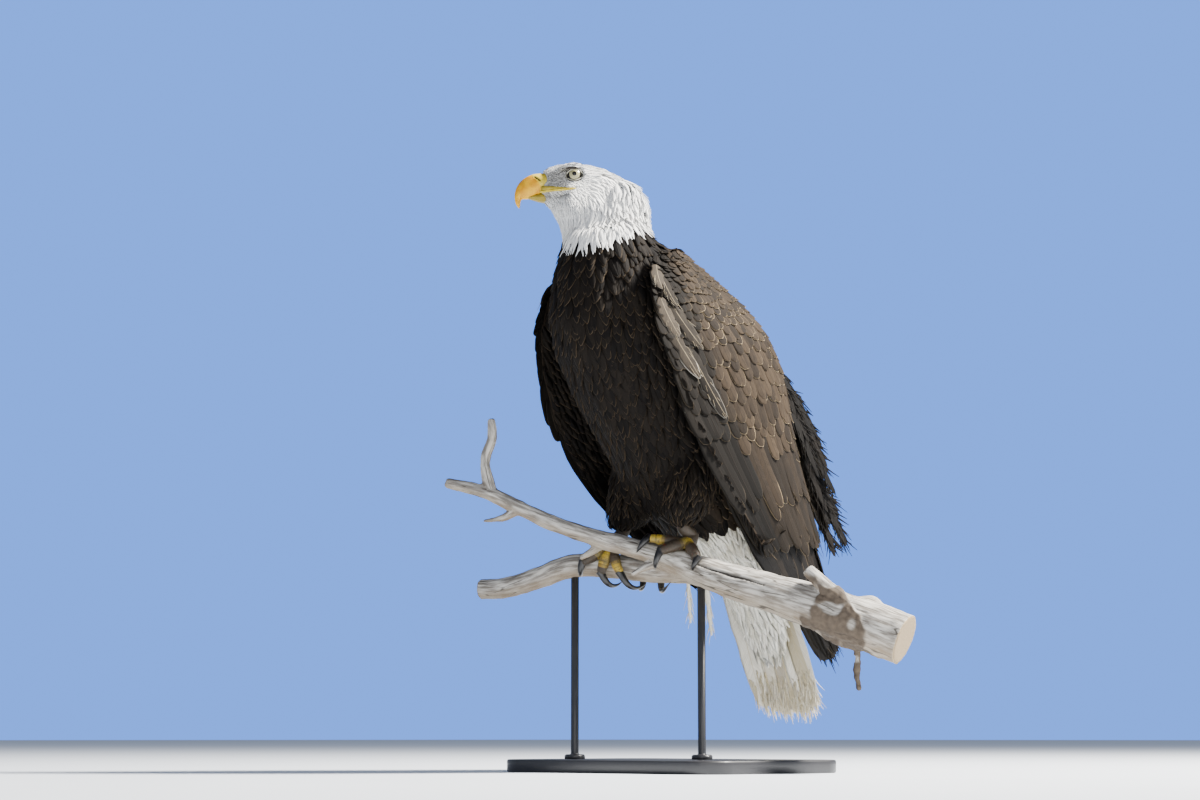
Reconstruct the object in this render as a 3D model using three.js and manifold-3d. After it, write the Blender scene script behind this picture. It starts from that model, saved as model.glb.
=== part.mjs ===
// A bald eagle at rest on a cut length of bare branch, held up by a plain display stand.
// Millimetres. The origin is the middle of the stand's underside, +Z is up, the bird faces -Y
// and its left side is +X. Its head is turned to its right.

import * as THREE from "three";
import { mergeVertices } from "three/addons/utils/BufferGeometryUtils.js";
import Module from "manifold-3d";

const wasm = await Module();
wasm.setup();

// ---- Driving sizes ----

const GAP = 0.3; // air kept between pieces that meet
const PERCH = new THREE.Vector3(0, -25, 268); // branch axis between the two feet; bird sizes count from here
const HEAD_TURN = 45; // degrees that the head is turned to the bird's right

const PLUMAGE = { dark: 0x2a211b, wing: 0x4d4033, white: 0xece9e2 };
const bodyFeathers = finish(PLUMAGE.dark, 0.85);
const wingFeathers = finish(PLUMAGE.wing, 0.8);
const flightFeathers = finish(0x1c1714, 0.75);
const whiteFeathers = finish(PLUMAGE.white, 0.85);
const billHorn = finish(0xdba32a, 0.4);
const scaledSkin = finish(0x8a7436, 0.6);
const clawHorn = finish(0x17130f, 0.3);
const eyeGlass = finish(0xd9d6b0, 0.08);
const greyWood = finish(0xb3aca0, 0.85);
const blackMetal = finish(0x25262a, 0.45, 0.6);

// ---- Building blocks ----

function finish(color, roughness, metalness = 0) {
  return new THREE.MeshStandardMaterial({ color, roughness, metalness });
}

function at(x, y, z) {
  return new THREE.Vector3(x, y, z);
}

// A point given from the perch, as the bird's own sizes are.
function onBird(x, y, z) {
  return at(x, y, z).add(PERCH);
}

// A value between b and c on the smooth curve through a, b, c and d.
function smooth(a, b, c, d, f) {
  const slopeIn = (c - a) / 2;
  const slopeOut = (d - b) / 2;
  const ff = f * f;
  return (
    (2 * f * ff - 3 * ff + 1) * b +
    (f * ff - 2 * ff + f) * slopeIn +
    (3 * ff - 2 * f * ff) * c +
    (f * ff - ff) * slopeOut
  );
}

// The row of a table at a place between its first row (0) and its last (1), on smooth curves.
function rowAt(table, place) {
  const last = table.length - 1;
  const k = Math.min(Math.floor(place * last), last - 1);
  const row = (i) => table[Math.max(0, Math.min(last, i))];
  return table[0].map((_, c) =>
    smooth(row(k - 1)[c], row(k)[c], row(k + 1)[c], row(k + 2)[c], place * last - k),
  );
}

// A closed solid from rings of points that hold the same number each.
function loft(rings) {
  const count = rings[0].length;
  const points = rings.flat();
  const faces = [];
  for (let r = 0; r + 1 < rings.length; r++) {
    for (let i = 0; i < count; i++) {
      const a = r * count + i;
      const b = r * count + ((i + 1) % count);
      faces.push(a, b, b + count, a, b + count, a + count);
    }
  }
  for (const [ring, turned] of [[0, true], [rings.length - 1, false]]) {
    const middle = points.length;
    const centre = at(0, 0, 0);
    rings[ring].forEach((p) => centre.addScaledVector(p, 1 / count));
    points.push(centre);
    for (let i = 0; i < count; i++) {
      const a = ring * count + i;
      const b = ring * count + ((i + 1) % count);
      faces.push(...(turned ? [middle, b, a] : [middle, a, b]));
    }
  }
  const geometry = new THREE.BufferGeometry().setFromPoints(points);
  geometry.setIndex(faces);
  return solid(geometry);
}

// A manifold solid from a closed geometry, turned face out.
function solid(source) {
  const bare = source.clone();
  bare.deleteAttribute("normal");
  bare.deleteAttribute("uv");
  const merged = mergeVertices(bare, 1e-3);
  const corners = new Uint32Array(merged.index.array);
  const p = merged.attributes.position;
  const corner = (i) => new THREE.Vector3().fromBufferAttribute(p, corners[i]);
  let volume = 0;
  for (let i = 0; i < corners.length; i += 3) {
    volume += corner(i).dot(corner(i + 1).cross(corner(i + 2)));
  }
  if (volume < 0) {
    for (let i = 0; i < corners.length; i += 3) {
      [corners[i + 1], corners[i + 2]] = [corners[i + 2], corners[i + 1]];
    }
  }
  const mesh = new wasm.Mesh({ numProp: 3, vertProperties: p.array, triVerts: corners });
  return new wasm.Manifold(mesh);
}

function joined(solids) {
  return solids.reduce((sum, next) => sum.add(next));
}

// What is left of a solid once its neighbours are cut away: its largest piece.
function cut(whole, ...neighbours) {
  const left = neighbours.reduce((rest, next) => rest.subtract(next), whole);
  return left.decompose().sort((a, b) => b.volume() - a.volume())[0];
}

// A flattened oval of points: half its width, its height over and its depth under the middle.
function oval({ middle, side, up, half, over, under, square = 2 }, count, grow = 0) {
  const points = [];
  for (let i = 0; i < count; i++) {
    const angle = (2 * Math.PI * i) / count;
    const bend = (v) => Math.sign(v) * Math.abs(v) ** (2 / square);
    const rise = Math.sin(angle);
    const height = (rise > 0 ? over : under) + grow;
    points.push(
      middle.clone()
        .addScaledVector(side, bend(Math.cos(angle)) * (half + grow))
        .addScaledVector(up, bend(rise) * height),
    );
  }
  return points;
}

// A round tube of changing radius along points: rows of x, y, z and radius, from the perch.
function limb(rows, { count = 10, steps = rows.length * 2, grow = 0, base = PERCH } = {}) {
  const places = Array.from({ length: steps + 1 }, (_, i) => i / steps);
  const centres = places.map((f) => at(...rowAt(rows, f)).add(base));
  let side = at(0.3, 0.9, 0.2);
  const rings = centres.map((middle, i) => {
    const ahead = centres[Math.min(i + 1, steps)].clone().sub(centres[Math.max(i - 1, 0)]).normalize();
    side = side.addScaledVector(ahead, -side.dot(ahead)).normalize();
    const up = ahead.clone().cross(side);
    const radius = Math.max(rowAt(rows, places[i])[3], 0.25);
    return oval({ middle, side: side.clone(), up, half: radius, over: radius, under: radius }, count, grow);
  });
  return loft(rings);
}

// A feather's blade: a thin plate along a path that gives its middle, its width's direction and its face.
const BLADE_OUTLINE = [[0, 0.6], [0.8, 1], [1, 0.4]]; // place, share of width

function blade(path, width, thick, grow = 0) {
  const rings = BLADE_OUTLINE.map(([place, share]) => {
    const { middle, across, face } = path(place);
    const half = (width * share) / 2 + grow;
    const high = thick / 2 + grow;
    const corner = (a, b) => middle.clone().addScaledVector(across, a * half).addScaledVector(face, b * high);
    return [corner(-1, -1), corner(1, -1), corner(1, 1), corner(-1, 1)];
  });
  return loft(rings);
}

const model = new THREE.Group();

function piece(name, material, manifold) {
  const { vertProperties, triVerts, numProp } = manifold.getMesh();
  const positions = [];
  for (let i = 0; i < vertProperties.length; i += numProp) {
    positions.push(vertProperties[i], vertProperties[i + 1], vertProperties[i + 2]);
  }
  const geometry = new THREE.BufferGeometry();
  geometry.setAttribute("position", new THREE.Float32BufferAttribute(positions, 3));
  geometry.setIndex(new THREE.BufferAttribute(triVerts, 1));
  geometry.computeVertexNormals();
  const mesh = new THREE.Mesh(geometry, material);
  mesh.name = name;
  model.add(mesh);
}

const SIDES = [["left", 1], ["right", -1]]; // the bird's own, and the sign of X

// ---- Trunk and rump: an upright egg from the base of the neck to the coverts of the tail ----

// y, z of the middle; half width; depth of the back; depth of the breast
const TRUNK = [
  [-88, 404, 50, 46, 55],
  [-84, 376, 62, 56, 74],
  [-66, 350, 82, 82, 104],
  [-44, 305, 94, 110, 118],
  [-26, 260, 95, 138, 110],
  [-8, 205, 90, 152, 93],
  [18, 150, 78, 160, 74],
  [52, 102, 70, 148, 72],
  [92, 60, 61, 122, 58],
  [134, 22, 52, 86, 40],
  [168, -16, 47, 48, 28],
  [190, -56, 45, 20, 21],
  [207, -94, 38, 11, 14],
  [218, -120, 20, 5, 6],
];
const TRUNK_STEPS = 11;
const TRUNK_SIDES = 12;
const SIDEWAYS = at(1, 0, 0);

function trunkShape(grow) {
  const rows = Array.from({ length: TRUNK_STEPS + 1 }, (_, i) => rowAt(TRUNK, i / TRUNK_STEPS));
  return loft(
    rows.map(([y, z, half, over, under], i) => {
      const next = rows[Math.min(i + 1, TRUNK_STEPS)];
      const last = rows[Math.max(i - 1, 0)];
      const along = at(0, next[0] - last[0], next[1] - last[1]).normalize();
      const up = at(0, -along.z, along.y);
      const shape = { middle: onBird(0, y, z), side: SIDEWAYS, up, half, over, under, square: 2.1 };
      return oval(shape, TRUNK_SIDES, grow);
    }),
  );
}

// ---- Head and neck, in the head's own directions ----

const turn = THREE.MathUtils.degToRad(HEAD_TURN);
const ahead = at(-Math.sin(turn), -Math.cos(turn), 0);
const headUp = at(0, 0, 1);
const headLeft = headUp.clone().cross(ahead);
const BETWEEN_EYES = onBird(-35, -107, 473);

// A point by its distance ahead of the eyes, above them and to the head's left.
function onHead(fore, up, left = 0) {
  return BETWEEN_EYES.clone()
    .addScaledVector(ahead, fore)
    .addScaledVector(headUp, up)
    .addScaledVector(headLeft, left);
}

// distance ahead of the eyes; top; bottom; half width
const HEAD = [
  [47, 2, -31, 10],
  [40, 9, -36, 14],
  [30, 13, -43, 18.5],
  [16, 16, -50, 23.5],
  [0, 16.5, -56, 27.5],
  [-20, 15, -62, 32],
  [-40, 9.5, -68, 36],
  [-60, 0, -72, 38],
  [-78, -14, -72, 34],
  [-91, -34, -66, 22],
];
// height over the eyes; front; back; half width
const NECK = [
  [-24, 28, -80, 34],
  [-40, 33, -91, 41],
  [-58, 24, -95, 46],
  [-76, 17, -97, 49],
  [-92, 17, -102, 53],
  [-106, 20, -108, 56],
];
// The bony ridge that shades each eye: distance ahead of the eyes, height, distance to the left, radius
const BROW = [[24, 4, 15, 2], [14, 7.5, 22, 4], [2, 9, 26.5, 5], [-12, 7.5, 29, 3]];
const HEAD_STEPS = 9;
const HEAD_SIDES = 10;
const NECK_STEPS = 4;

function headAndNeck() {
  const skull = loft(
    Array.from({ length: HEAD_STEPS + 1 }, (_, i) => {
      const [fore, top, bottom, half] = rowAt(HEAD, i / HEAD_STEPS);
      const high = (top - bottom) / 2;
      const middle = onHead(fore, (top + bottom) / 2);
      const shape = { middle, side: headLeft, up: headUp, half, over: high, under: high, square: 2.2 };
      return oval(shape, HEAD_SIDES);
    }),
  );
  const throat = loft(
    Array.from({ length: NECK_STEPS + 1 }, (_, i) => {
      const [up, front, back, half] = rowAt(NECK, i / NECK_STEPS);
      const deep = (front - back) / 2;
      const middle = onHead((front + back) / 2, up);
      const shape = { middle, side: headLeft, up: ahead, half, over: deep, under: deep, square: 2.1 };
      return oval(shape, HEAD_SIDES);
    }),
  );
  const brows = [1, -1].map((hand) => {
    const rows = BROW.map(([fore, up, left, radius]) => [...onHead(fore, up, left * hand).toArray(), radius]);
    return limb(rows, { count: 5, steps: 3, base: at(0, 0, 0) });
  });
  return joined([skull, throat, ...brows]);
}

const EYE_RADIUS = 9.5;
const EYE = { fore: 0, up: -2, left: 19.5 };

function eyeShape(hand, grow) {
  const { x, y, z } = onHead(EYE.fore, EYE.up, EYE.left * hand);
  return solid(new THREE.SphereGeometry(EYE_RADIUS + grow, 10, 7).translate(x, y, z));
}

// ---- Bill: the hooked upper part with its cere, and the lower part under it ----

// Down the middle of each part: distance ahead of the eyes; height over them; half its depth; half its width
const UPPER_BILL = [
  [30, -9, 12.5, 12],
  [42, -8.7, 12.5, 13],
  [52, -9.8, 12.7, 12.5],
  [60.5, -12.5, 11.5, 11],
  [66.2, -17.5, 9, 8.6],
  [69.2, -24, 6.8, 6],
  [70.4, -30.5, 4.6, 4],
  [70.2, -36, 2.4, 2.2],
  [69.3, -40.5, 0.7, 0.7],
];
const LOWER_BILL = [
  [28, -27.5, 7, 10],
  [44, -27, 6.5, 10],
  [54, -26, 4.7, 8],
  [62, -26, 2.4, 5],
];

function billShape(table, sides, steps, grow) {
  const rows = Array.from({ length: steps + 1 }, (_, i) => rowAt(table, i / steps));
  return loft(
    rows.map(([fore, rise, high, half], i) => {
      const next = rows[Math.min(i + 1, steps)];
      const last = rows[Math.max(i - 1, 0)];
      const run = at(next[0] - last[0], 0, next[1] - last[1]).normalize();
      // Each ring stands square to the bill's own bent line.
      const up = headUp.clone().multiplyScalar(run.x).addScaledVector(ahead, -run.z);
      const shape = { middle: onHead(fore, rise), side: headLeft, up, half, over: high, under: high };
      return oval(shape, sides, grow);
    }),
  );
}
const upperBillShape = (grow) => billShape(UPPER_BILL, 10, 11, grow);
const lowerBillShape = (grow) => billShape(LOWER_BILL, 8, 4, grow);

// ---- Wings, folded round the sides and back ----

// x, y, z of the leading edge, low at the front; of the corner between side and back; and of the edge
// beside the spine
const WING = [
  [82, -82, 362, 58, -12, 382, 40, 2, 386],
  [99, -101, 325, 66, 28, 356, 36, 48, 362],
  [110, -103, 278, 78, 77, 322, 31, 98, 330],
  [118, -89, 225, 87, 119, 283, 27, 144, 290],
  [121, -59, 160, 86, 153, 230, 22, 182, 238],
  [117, -13, 102, 80, 175, 172, 17, 210, 180],
  [104, 54, 40, 75, 202, 110, 13, 238, 118],
  [84, 123, -14, 68, 234, 50, 11, 264, 56],
  [61, 193, -64, 60, 268, -10, 14, 290, -6],
  [59, 230, -104, 54, 300, -66, 22, 318, -62],
  [56, 259, -134, 50, 323, -110, 32, 334, -108],
];
const WING_BULGE = 19; // how far the side stands out between the leading edge and the corner
const WING_THICK = 24; // through the arm and its layers of feathers

// The outer face's point at a place along the wing (0 at the wrist, 1 at the tip) and across it (0 at the
// leading edge, 1 beside the spine).
function wingFace(along, across) {
  const row = rowAt(WING, Math.max(0, Math.min(1, along)));
  const [lead, corner, spine] = [row.slice(0, 3), row.slice(3, 6), row.slice(6)];
  const side = lead.map((v, axis) => (v + corner[axis]) / 2);
  side[0] += WING_BULGE * (1 - 0.6 * along);
  return onBird(...rowAt([lead, side, corner, spine], across));
}

// A point under the face by a depth, with the way out of the wing there.
function onWing(along, across, depth = 0) {
  const step = 0.02;
  const run = wingFace(along + step, across).sub(wingFace(along - step, across));
  const width = wingFace(along, across + step).sub(wingFace(along, across - step));
  const face = run.cross(width).normalize();
  return { point: wingFace(along, across).addScaledVector(face, -depth), face };
}

function mirrored(manifold, hand) {
  return hand > 0 ? manifold : manifold.mirror([1, 0, 0]);
}

const ARM_END = 0.66; // how far along the wing the covered arm reaches
const ARM_STEPS = 7;
const ARM_SIDES = 6; // faces across it

function armShape(grow) {
  const rings = Array.from({ length: ARM_STEPS + 1 }, (_, i) => {
    const along = (i / ARM_STEPS) * ARM_END;
    const thick = WING_THICK * Math.sin(Math.PI * (0.2 + (0.68 * i) / ARM_STEPS)) ** 0.5;
    const outer = [];
    const inner = [];
    for (let k = 0; k <= ARM_SIDES; k++) {
      const across = k / ARM_SIDES;
      const round = 0.28 + 0.72 * Math.sin(Math.PI * across) ** 0.6;
      outer.push(onWing(along, across, -grow).point);
      inner.unshift(onWing(along, across, thick * round + grow).point);
    }
    return [...outer, ...inner];
  });
  return loft(rings);
}

// Flight feathers: each blade runs over the wing's face from a root to a tip, a little under the last one.
// Places on the wing are pairs: along it and across it.
function flightFeather([rootAlong, rootAcross], [tipAlong, tipAcross], depth, width, thick, grow) {
  const place = (f) => onWing(
    rootAlong + (tipAlong - rootAlong) * f, rootAcross + (tipAcross - rootAcross) * f, depth);
  return blade((f) => {
    const { point, face } = place(f);
    const run = place(f + 0.02).point.sub(point).normalize();
    face.addScaledVector(run, -face.dot(run)).normalize();
    return { middle: point, across: run.cross(face), face };
  }, width, thick, grow);
}

// The secondaries end in a fan from the leading side to the back.
const SECONDARIES = 5;
function secondariesShape(grow) {
  return joined(Array.from({ length: SECONDARIES }, (_, i) => {
    const f = i / (SECONDARIES - 1); // from the leading side to the back
    const tip = [0.7 + 0.07 * Math.sin(2.4 * f), 0.1 + 0.84 * f];
    return flightFeather([0.5, 0.16 + 0.74 * f], tip, 7 + 2 * f, 64, 4, grow);
  }));
}

// The tertials, nearest the spine, hang loose and stand out behind.
const TERTIALS = 5;
function tertialsShape(grow) {
  return joined(Array.from({ length: TERTIALS }, (_, i) => {
    const f = i / (TERTIALS - 1); // from the uppermost to the lowest
    const root = onWing(0.36 + 0.16 * f, 0.86, 8).point;
    const tip = onBird(42 - 6 * f, 262 + 72 * f ** 0.8, 140 - 120 * f);
    const run = tip.clone().sub(root).normalize();
    const face = SIDEWAYS.clone().addScaledVector(run, -run.x).normalize();
    const across = run.clone().cross(face);
    return blade((place) => ({ middle: root.clone().lerp(tip, place), across, face }), 46, 4, grow);
  }));
}

const PRIMARIES = 3;
function primariesShape(grow) {
  return joined(Array.from({ length: PRIMARIES }, (_, i) => {
    const f = i / (PRIMARIES - 1); // from the innermost to the outermost, which lies along the leading edge
    const root = [0.45, 0.5 - 0.32 * f];
    const tip = [0.9 + 0.1 * Math.sqrt(Math.sin(1.9 * f)), 0.66 - 0.46 * f];
    return flightFeather(root, tip, 14 + f, 52, 4, grow);
  }));
}

// ---- Tail: a closed fan of twelve feathers ----

const TAIL_ROOT = [0, 179, 4];
const TAIL_SLOPE = THREE.MathUtils.degToRad(67); // below level
const TAIL_LENGTH = 212;
const TAIL_FEATHERS = 12;
const TAIL_HALF = 41; // half its width between the outermost shafts at the root
const TAIL_SPREAD = THREE.MathUtils.degToRad(1.5); // each way
const RECTRIX_WIDTH = 34;
const tailRun = at(0, Math.cos(TAIL_SLOPE), -Math.sin(TAIL_SLOPE));
const tailFace = at(0, Math.sin(TAIL_SLOPE), Math.cos(TAIL_SLOPE)); // its upper side

function tailShape(grow) {
  return joined(Array.from({ length: TAIL_FEATHERS }, (_, i) => {
    const share = (2 * i) / (TAIL_FEATHERS - 1) - 1; // -1 to 1 across the fan
    const spread = share * TAIL_SPREAD;
    const run = tailRun.clone().multiplyScalar(Math.cos(spread)).addScaledVector(SIDEWAYS, Math.sin(spread));
    const start = onBird(...TAIL_ROOT)
      .addScaledVector(SIDEWAYS, share * TAIL_HALF)
      .addScaledVector(tailFace, 3 - 7 * share * share + 0.6 * (i % 2));
    const length = TAIL_LENGTH - 16 * share * share;
    const tilt = share * 0.2;
    const face = tailFace.clone().multiplyScalar(Math.cos(tilt)).addScaledVector(SIDEWAYS, Math.sin(tilt));
    const across = run.clone().cross(face);
    const path = (f) => ({ middle: start.clone().addScaledVector(run, length * f), across, face });
    return blade(path, RECTRIX_WIDTH, 2.4, grow);
  }));
}

// ---- Branch ----

// x, y, z and radius along each stem, from the perch point
const STEM = [
  [298, 121, -109, 31],
  [246, 101, -87, 29.5],
  [175, 72, -61, 25.5],
  [127, 53, -45, 23],
  [79, 33, -29, 20.5],
  [43, 14, -14, 18],
  [5, -14, 3, 13.5],
  [-48, -49, 21, 11],
  [-107, -88, 46, 10],
  [-166, -128, 80, 9],
  [-214, -160, 96, 6.5],
];
const LOWER_STEM = [
  [60, 24, -22, 14],
  [18, 11, -19, 16],
  [-12, 3, -17, 16],
  [-74, -24, -9, 15],
  [-111, -40, -10, 15],
  [-149, -56, -23, 14],
  [-193, -76, -35, 13.5],
  [-225, -90, -36, 13],
];
// Broken side shoots, then a knob of bark over the stem and one under it
const SNAGS = [
  [[-164, -126, 78, 8], [-172, -131, 119, 7], [-164, -127, 151, 6.5], [-165, -128, 176, 4.5]],
  [[-134, -106, 62, 7], [-150, -118, 50, 5], [-172, -134, 46, 2]],
  [[-40, -43, 20, 6], [-58, -50, 8, 5], [-76, -56, -2, 3.5]],
  [[262, 104, -92, 14], [232, 82, -62, 11], [196, 62, -22, 8]],
  [[240, 103, -62, 7], [256, 112, -66, 10], [274, 118, -84, 7]],
  [[184, 84, -84, 9], [222, 98, -102, 14], [262, 110, -118, 6]],
];

function branchShape(grow) {
  return joined([
    limb(STEM, { count: 9, steps: 12, grow }),
    limb(LOWER_STEM, { count: 8, steps: 7, grow }),
    ...SNAGS.map((rows) => limb(rows, { count: 5, steps: 3, grow })),
  ]);
}

// ---- Legs: feathered thighs, bare shanks, and toes closed on the wood ----

// The branch's axis under each foot: a point, the way it runs, and its radius there
const FEET = {
  left: { middle: onBird(35, 10, -11), along: at(0.79, 0.5, -0.34).normalize(), radius: 18 },
  right: { middle: onBird(-56, -16, -12), along: at(0.9, 0.39, -0.1).normalize(), radius: 16 },
};
// x, y, z and radius
const THIGH = {
  left: [[54, 40, 150, 40], [50, 18, 100, 40], [46, 6, 62, 34], [42, 8, 34, 24], [38, 9, 20, 14]],
  right: [[-48, 40, 150, 40], [-46, 18, 100, 38], [-44, 2, 62, 34], [-48, -6, 36, 26], [-54, -13, 18, 15]],
};
const SHANK_RADIUS = 8;
const BALL_RADIUS = 10;

// Each toe leaves the ball of the foot, bends round the branch and ends in its claw. side is 1 in front of
// the branch and -1 behind it; wrap is how many degrees it goes round, and drift how far it moves along the
// wood. The toe's end stands clear of the round by off. The claw goes round by hook degrees more, stands
// off by loop, and moves along the wood by sweep.
const TOES = {
  left: [
    { name: "inner", side: 1, radius: 6, wrap: 48, drift: -46, off: 0, hook: 55, loop: 2, sweep: -8 },
    { name: "middle", side: 1, radius: 6.5, wrap: 76, drift: -25, off: 0, hook: 62, loop: 3, sweep: 0 },
    { name: "outer", side: 1, radius: 6.5, wrap: 58, drift: 22, off: 0, hook: 42, loop: 3, sweep: -2 },
    { name: "hind", side: -1, radius: 6.5, wrap: 132, drift: -24, off: 9, hook: 74, loop: 9, sweep: 22 },
  ],
  right: [
    { name: "inner", side: 1, radius: 6, wrap: 112, drift: 18, off: 0, hook: 78, loop: 7, sweep: 26 },
    { name: "middle", side: 1, radius: 6.5, wrap: 116, drift: -8, off: 0, hook: 74, loop: 6, sweep: 20 },
    { name: "outer", side: 1, radius: 7, wrap: 88, drift: -34, off: 0, hook: 60, loop: 3, sweep: -5 },
    { name: "hind", side: -1, radius: 6.5, wrap: 104, drift: 30, off: 4, hook: 70, loop: 6, sweep: 4 },
  ],
};

// A point round the branch: the angle from its top towards side, the distance from its axis, and along it.
function roundBranch({ middle, along }, side, degrees, distance, drift) {
  const up = at(0, 0, 1).addScaledVector(along, -along.z).normalize();
  const front = along.clone().cross(up); // the way that the bird faces
  const angle = THREE.MathUtils.degToRad(degrees);
  return middle.clone()
    .addScaledVector(front, side * distance * Math.sin(angle))
    .addScaledVector(up, distance * Math.cos(angle))
    .addScaledVector(along, drift);
}

function tube(points, count, steps, grow) {
  const rows = points.map(([point, radius]) => [...point.toArray(), radius]);
  return limb(rows, { count, steps, grow, base: at(0, 0, 0) });
}

function toeShape(foot, toe, grow) {
  const reach = foot.radius + toe.radius + 0.8;
  const thick = [1.05, 0.95, 1.08, 0.95, 0.8]; // thickest at the pads
  const points = thick.map((share, i) => {
    const f = i / (thick.length - 1);
    const lift = 3 * (1 - f) ** 2;
    return [
      roundBranch(foot, toe.side, 12 + (toe.wrap - 12) * f, reach + lift + toe.off * f, toe.drift * f ** 1.2),
      toe.radius * share,
    ];
  });
  return tube(points, 6, 4, grow);
}

const CLAW_RADIUS = 4.3;
function clawShape(foot, toe, grow) {
  const leaves = foot.radius + toe.radius + 0.8 + toe.off;
  const bites = foot.radius + 1 + toe.off;
  const points = Array.from({ length: 6 }, (_, i) => {
    const f = i / 5;
    const distance = leaves + (bites - leaves) * f + toe.loop * Math.sin(Math.PI * f);
    const point = roundBranch(foot, toe.side, toe.wrap + toe.hook * f, distance, toe.drift + toe.sweep * f);
    return [point, CLAW_RADIUS * (1 - f ** 1.5) + 0.5];
  });
  return tube(points, 5, 6, grow);
}

function shankShape(foot, thigh, grow) {
  const top = onBird(...thigh[thigh.length - 2].slice(0, 3));
  const points = [
    [top, SHANK_RADIUS],
    [roundBranch(foot, -1, 6, foot.radius + 20, 0), SHANK_RADIUS],
    [roundBranch(foot, 1, 0, foot.radius + BALL_RADIUS, 0), BALL_RADIUS],
    [roundBranch(foot, 1, 4, foot.radius + 4, 0), BALL_RADIUS * 0.9],
  ];
  return tube(points, 8, 4, grow);
}

// ---- Display stand ----

const BASE = { length: 370, width: 260, thick: 16, corner: 46, chamfer: 2 };
const ROD_RADIUS = 5;
const COLLAR = { radius: 13, height: 6 };
const RODS = [["stand_rod_left", 58, 22], ["stand_rod_right", -105, -37]]; // x, y from the perch point

function baseShape() {
  const { length, width, thick, corner, chamfer } = BASE;
  const x = length / 2 - chamfer;
  const y = width / 2 - chamfer;
  const outline = new THREE.Shape();
  outline.moveTo(-x + corner, -y);
  outline.lineTo(x - corner, -y);
  outline.absarc(x - corner, -y + corner, corner, -Math.PI / 2, 0);
  outline.absarc(x - corner, y - corner, corner, 0, Math.PI / 2);
  outline.absarc(-x + corner, y - corner, corner, Math.PI / 2, Math.PI);
  outline.absarc(-x + corner, -y + corner, corner, Math.PI, 1.5 * Math.PI);
  const geometry = new THREE.ExtrudeGeometry(outline, {
    depth: thick - 2 * chamfer,
    bevelThickness: chamfer,
    bevelSize: chamfer,
    bevelSegments: 1,
    curveSegments: 2,
  });
  return solid(geometry.translate(0, 0, chamfer));
}

function rodShape(x, y) {
  const foot = BASE.thick + GAP;
  const top = PERCH.z;
  const shoulder = foot + COLLAR.height;
  const profile = [
    [0, foot],
    [COLLAR.radius, foot],
    [COLLAR.radius, shoulder - 2],
    [COLLAR.radius - 2, shoulder],
    [ROD_RADIUS, shoulder],
    [ROD_RADIUS, top],
    [0, top],
  ].map(([r, z]) => new THREE.Vector2(r, z));
  const turned = new THREE.LatheGeometry(profile, 12).rotateX(Math.PI / 2);
  return solid(turned.translate(x + PERCH.x, y + PERCH.y, 0));
}

// ---- Assembly: every piece is cut clear of those it meets ----

// Parts a solid by a plane through a point, with the gap between: first the side that the normal points to.
function parted(whole, normal, point) {
  const back = normal.clone().negate();
  return [
    whole.trimByPlane(normal.toArray(), normal.dot(point) + GAP / 2),
    whole.trimByPlane(back.toArray(), back.dot(point) + GAP / 2),
  ];
}

const branch = branchShape(0);
const branchRoom = branchShape(GAP);
const tail = tailShape(0);
const tailRoom = tailShape(GAP);

piece("perch_branch", greyWood, branch);

const thighShape = (side, grow) => limb(THIGH[side], { count: 10, steps: 5, grow });
const thighRoom = joined(SIDES.map(([side]) => thighShape(side, GAP)));

for (const [side] of SIDES) {
  const foot = FEET[side];
  piece("thigh_" + side, bodyFeathers, cut(thighShape(side, 0), branchRoom));
  piece("shank_" + side, scaledSkin, cut(shankShape(foot, THIGH[side], 0), branchRoom, thighRoom));
  const taken = [branchRoom, thighRoom, shankShape(foot, THIGH[side], GAP)];
  for (const toe of TOES[side]) {
    const toeRoom = toeShape(foot, toe, GAP);
    piece(`toe_${toe.name}_${side}`, scaledSkin, cut(toeShape(foot, toe, 0), ...taken));
    piece(`claw_${toe.name}_${side}`, clawHorn, cut(clawShape(foot, toe, 0), ...taken, toeRoom));
    taken.push(toeRoom, clawShape(foot, toe, GAP));
  }
}

// Where the head meets the neck under the jaw and nape, where the white collar ends, and where white
// coverts begin under and over the tail
const napeUp = headUp.clone().multiplyScalar(0.82).addScaledVector(ahead, 0.57).normalize();
const collarUp = at(0.2, -0.25, 1).normalize();
const ventUp = at(0, -0.61, 0.79).normalize();
const body = joined([headAndNeck(), trunkShape(0)]);
const [white, dark] = parted(body, collarUp, onBird(-6, -78, 388));
const [head, neck] = parted(white, napeUp, onHead(-8, -54));
const [trunk, coverts] = parted(dark, ventUp, onBird(0, 70, 58));

const faceRoom = joined([upperBillShape(GAP), lowerBillShape(GAP), eyeShape(1, GAP), eyeShape(-1, GAP)]);

piece("head", whiteFeathers, cut(head, faceRoom));
piece("neck", whiteFeathers, cut(neck, faceRoom));
piece("trunk", bodyFeathers, cut(trunk, thighRoom, branchRoom));
piece("tail_coverts", whiteFeathers, cut(coverts, thighRoom, branchRoom));
piece("tail", whiteFeathers, cut(tail, trunkShape(GAP), branchRoom));
piece("bill_upper", billHorn, upperBillShape(0));
piece("bill_lower", billHorn, cut(lowerBillShape(0), upperBillShape(GAP)));
for (const [side, hand] of SIDES) {
  piece("eye_" + side, eyeGlass, eyeShape(hand, 0));
}

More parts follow.
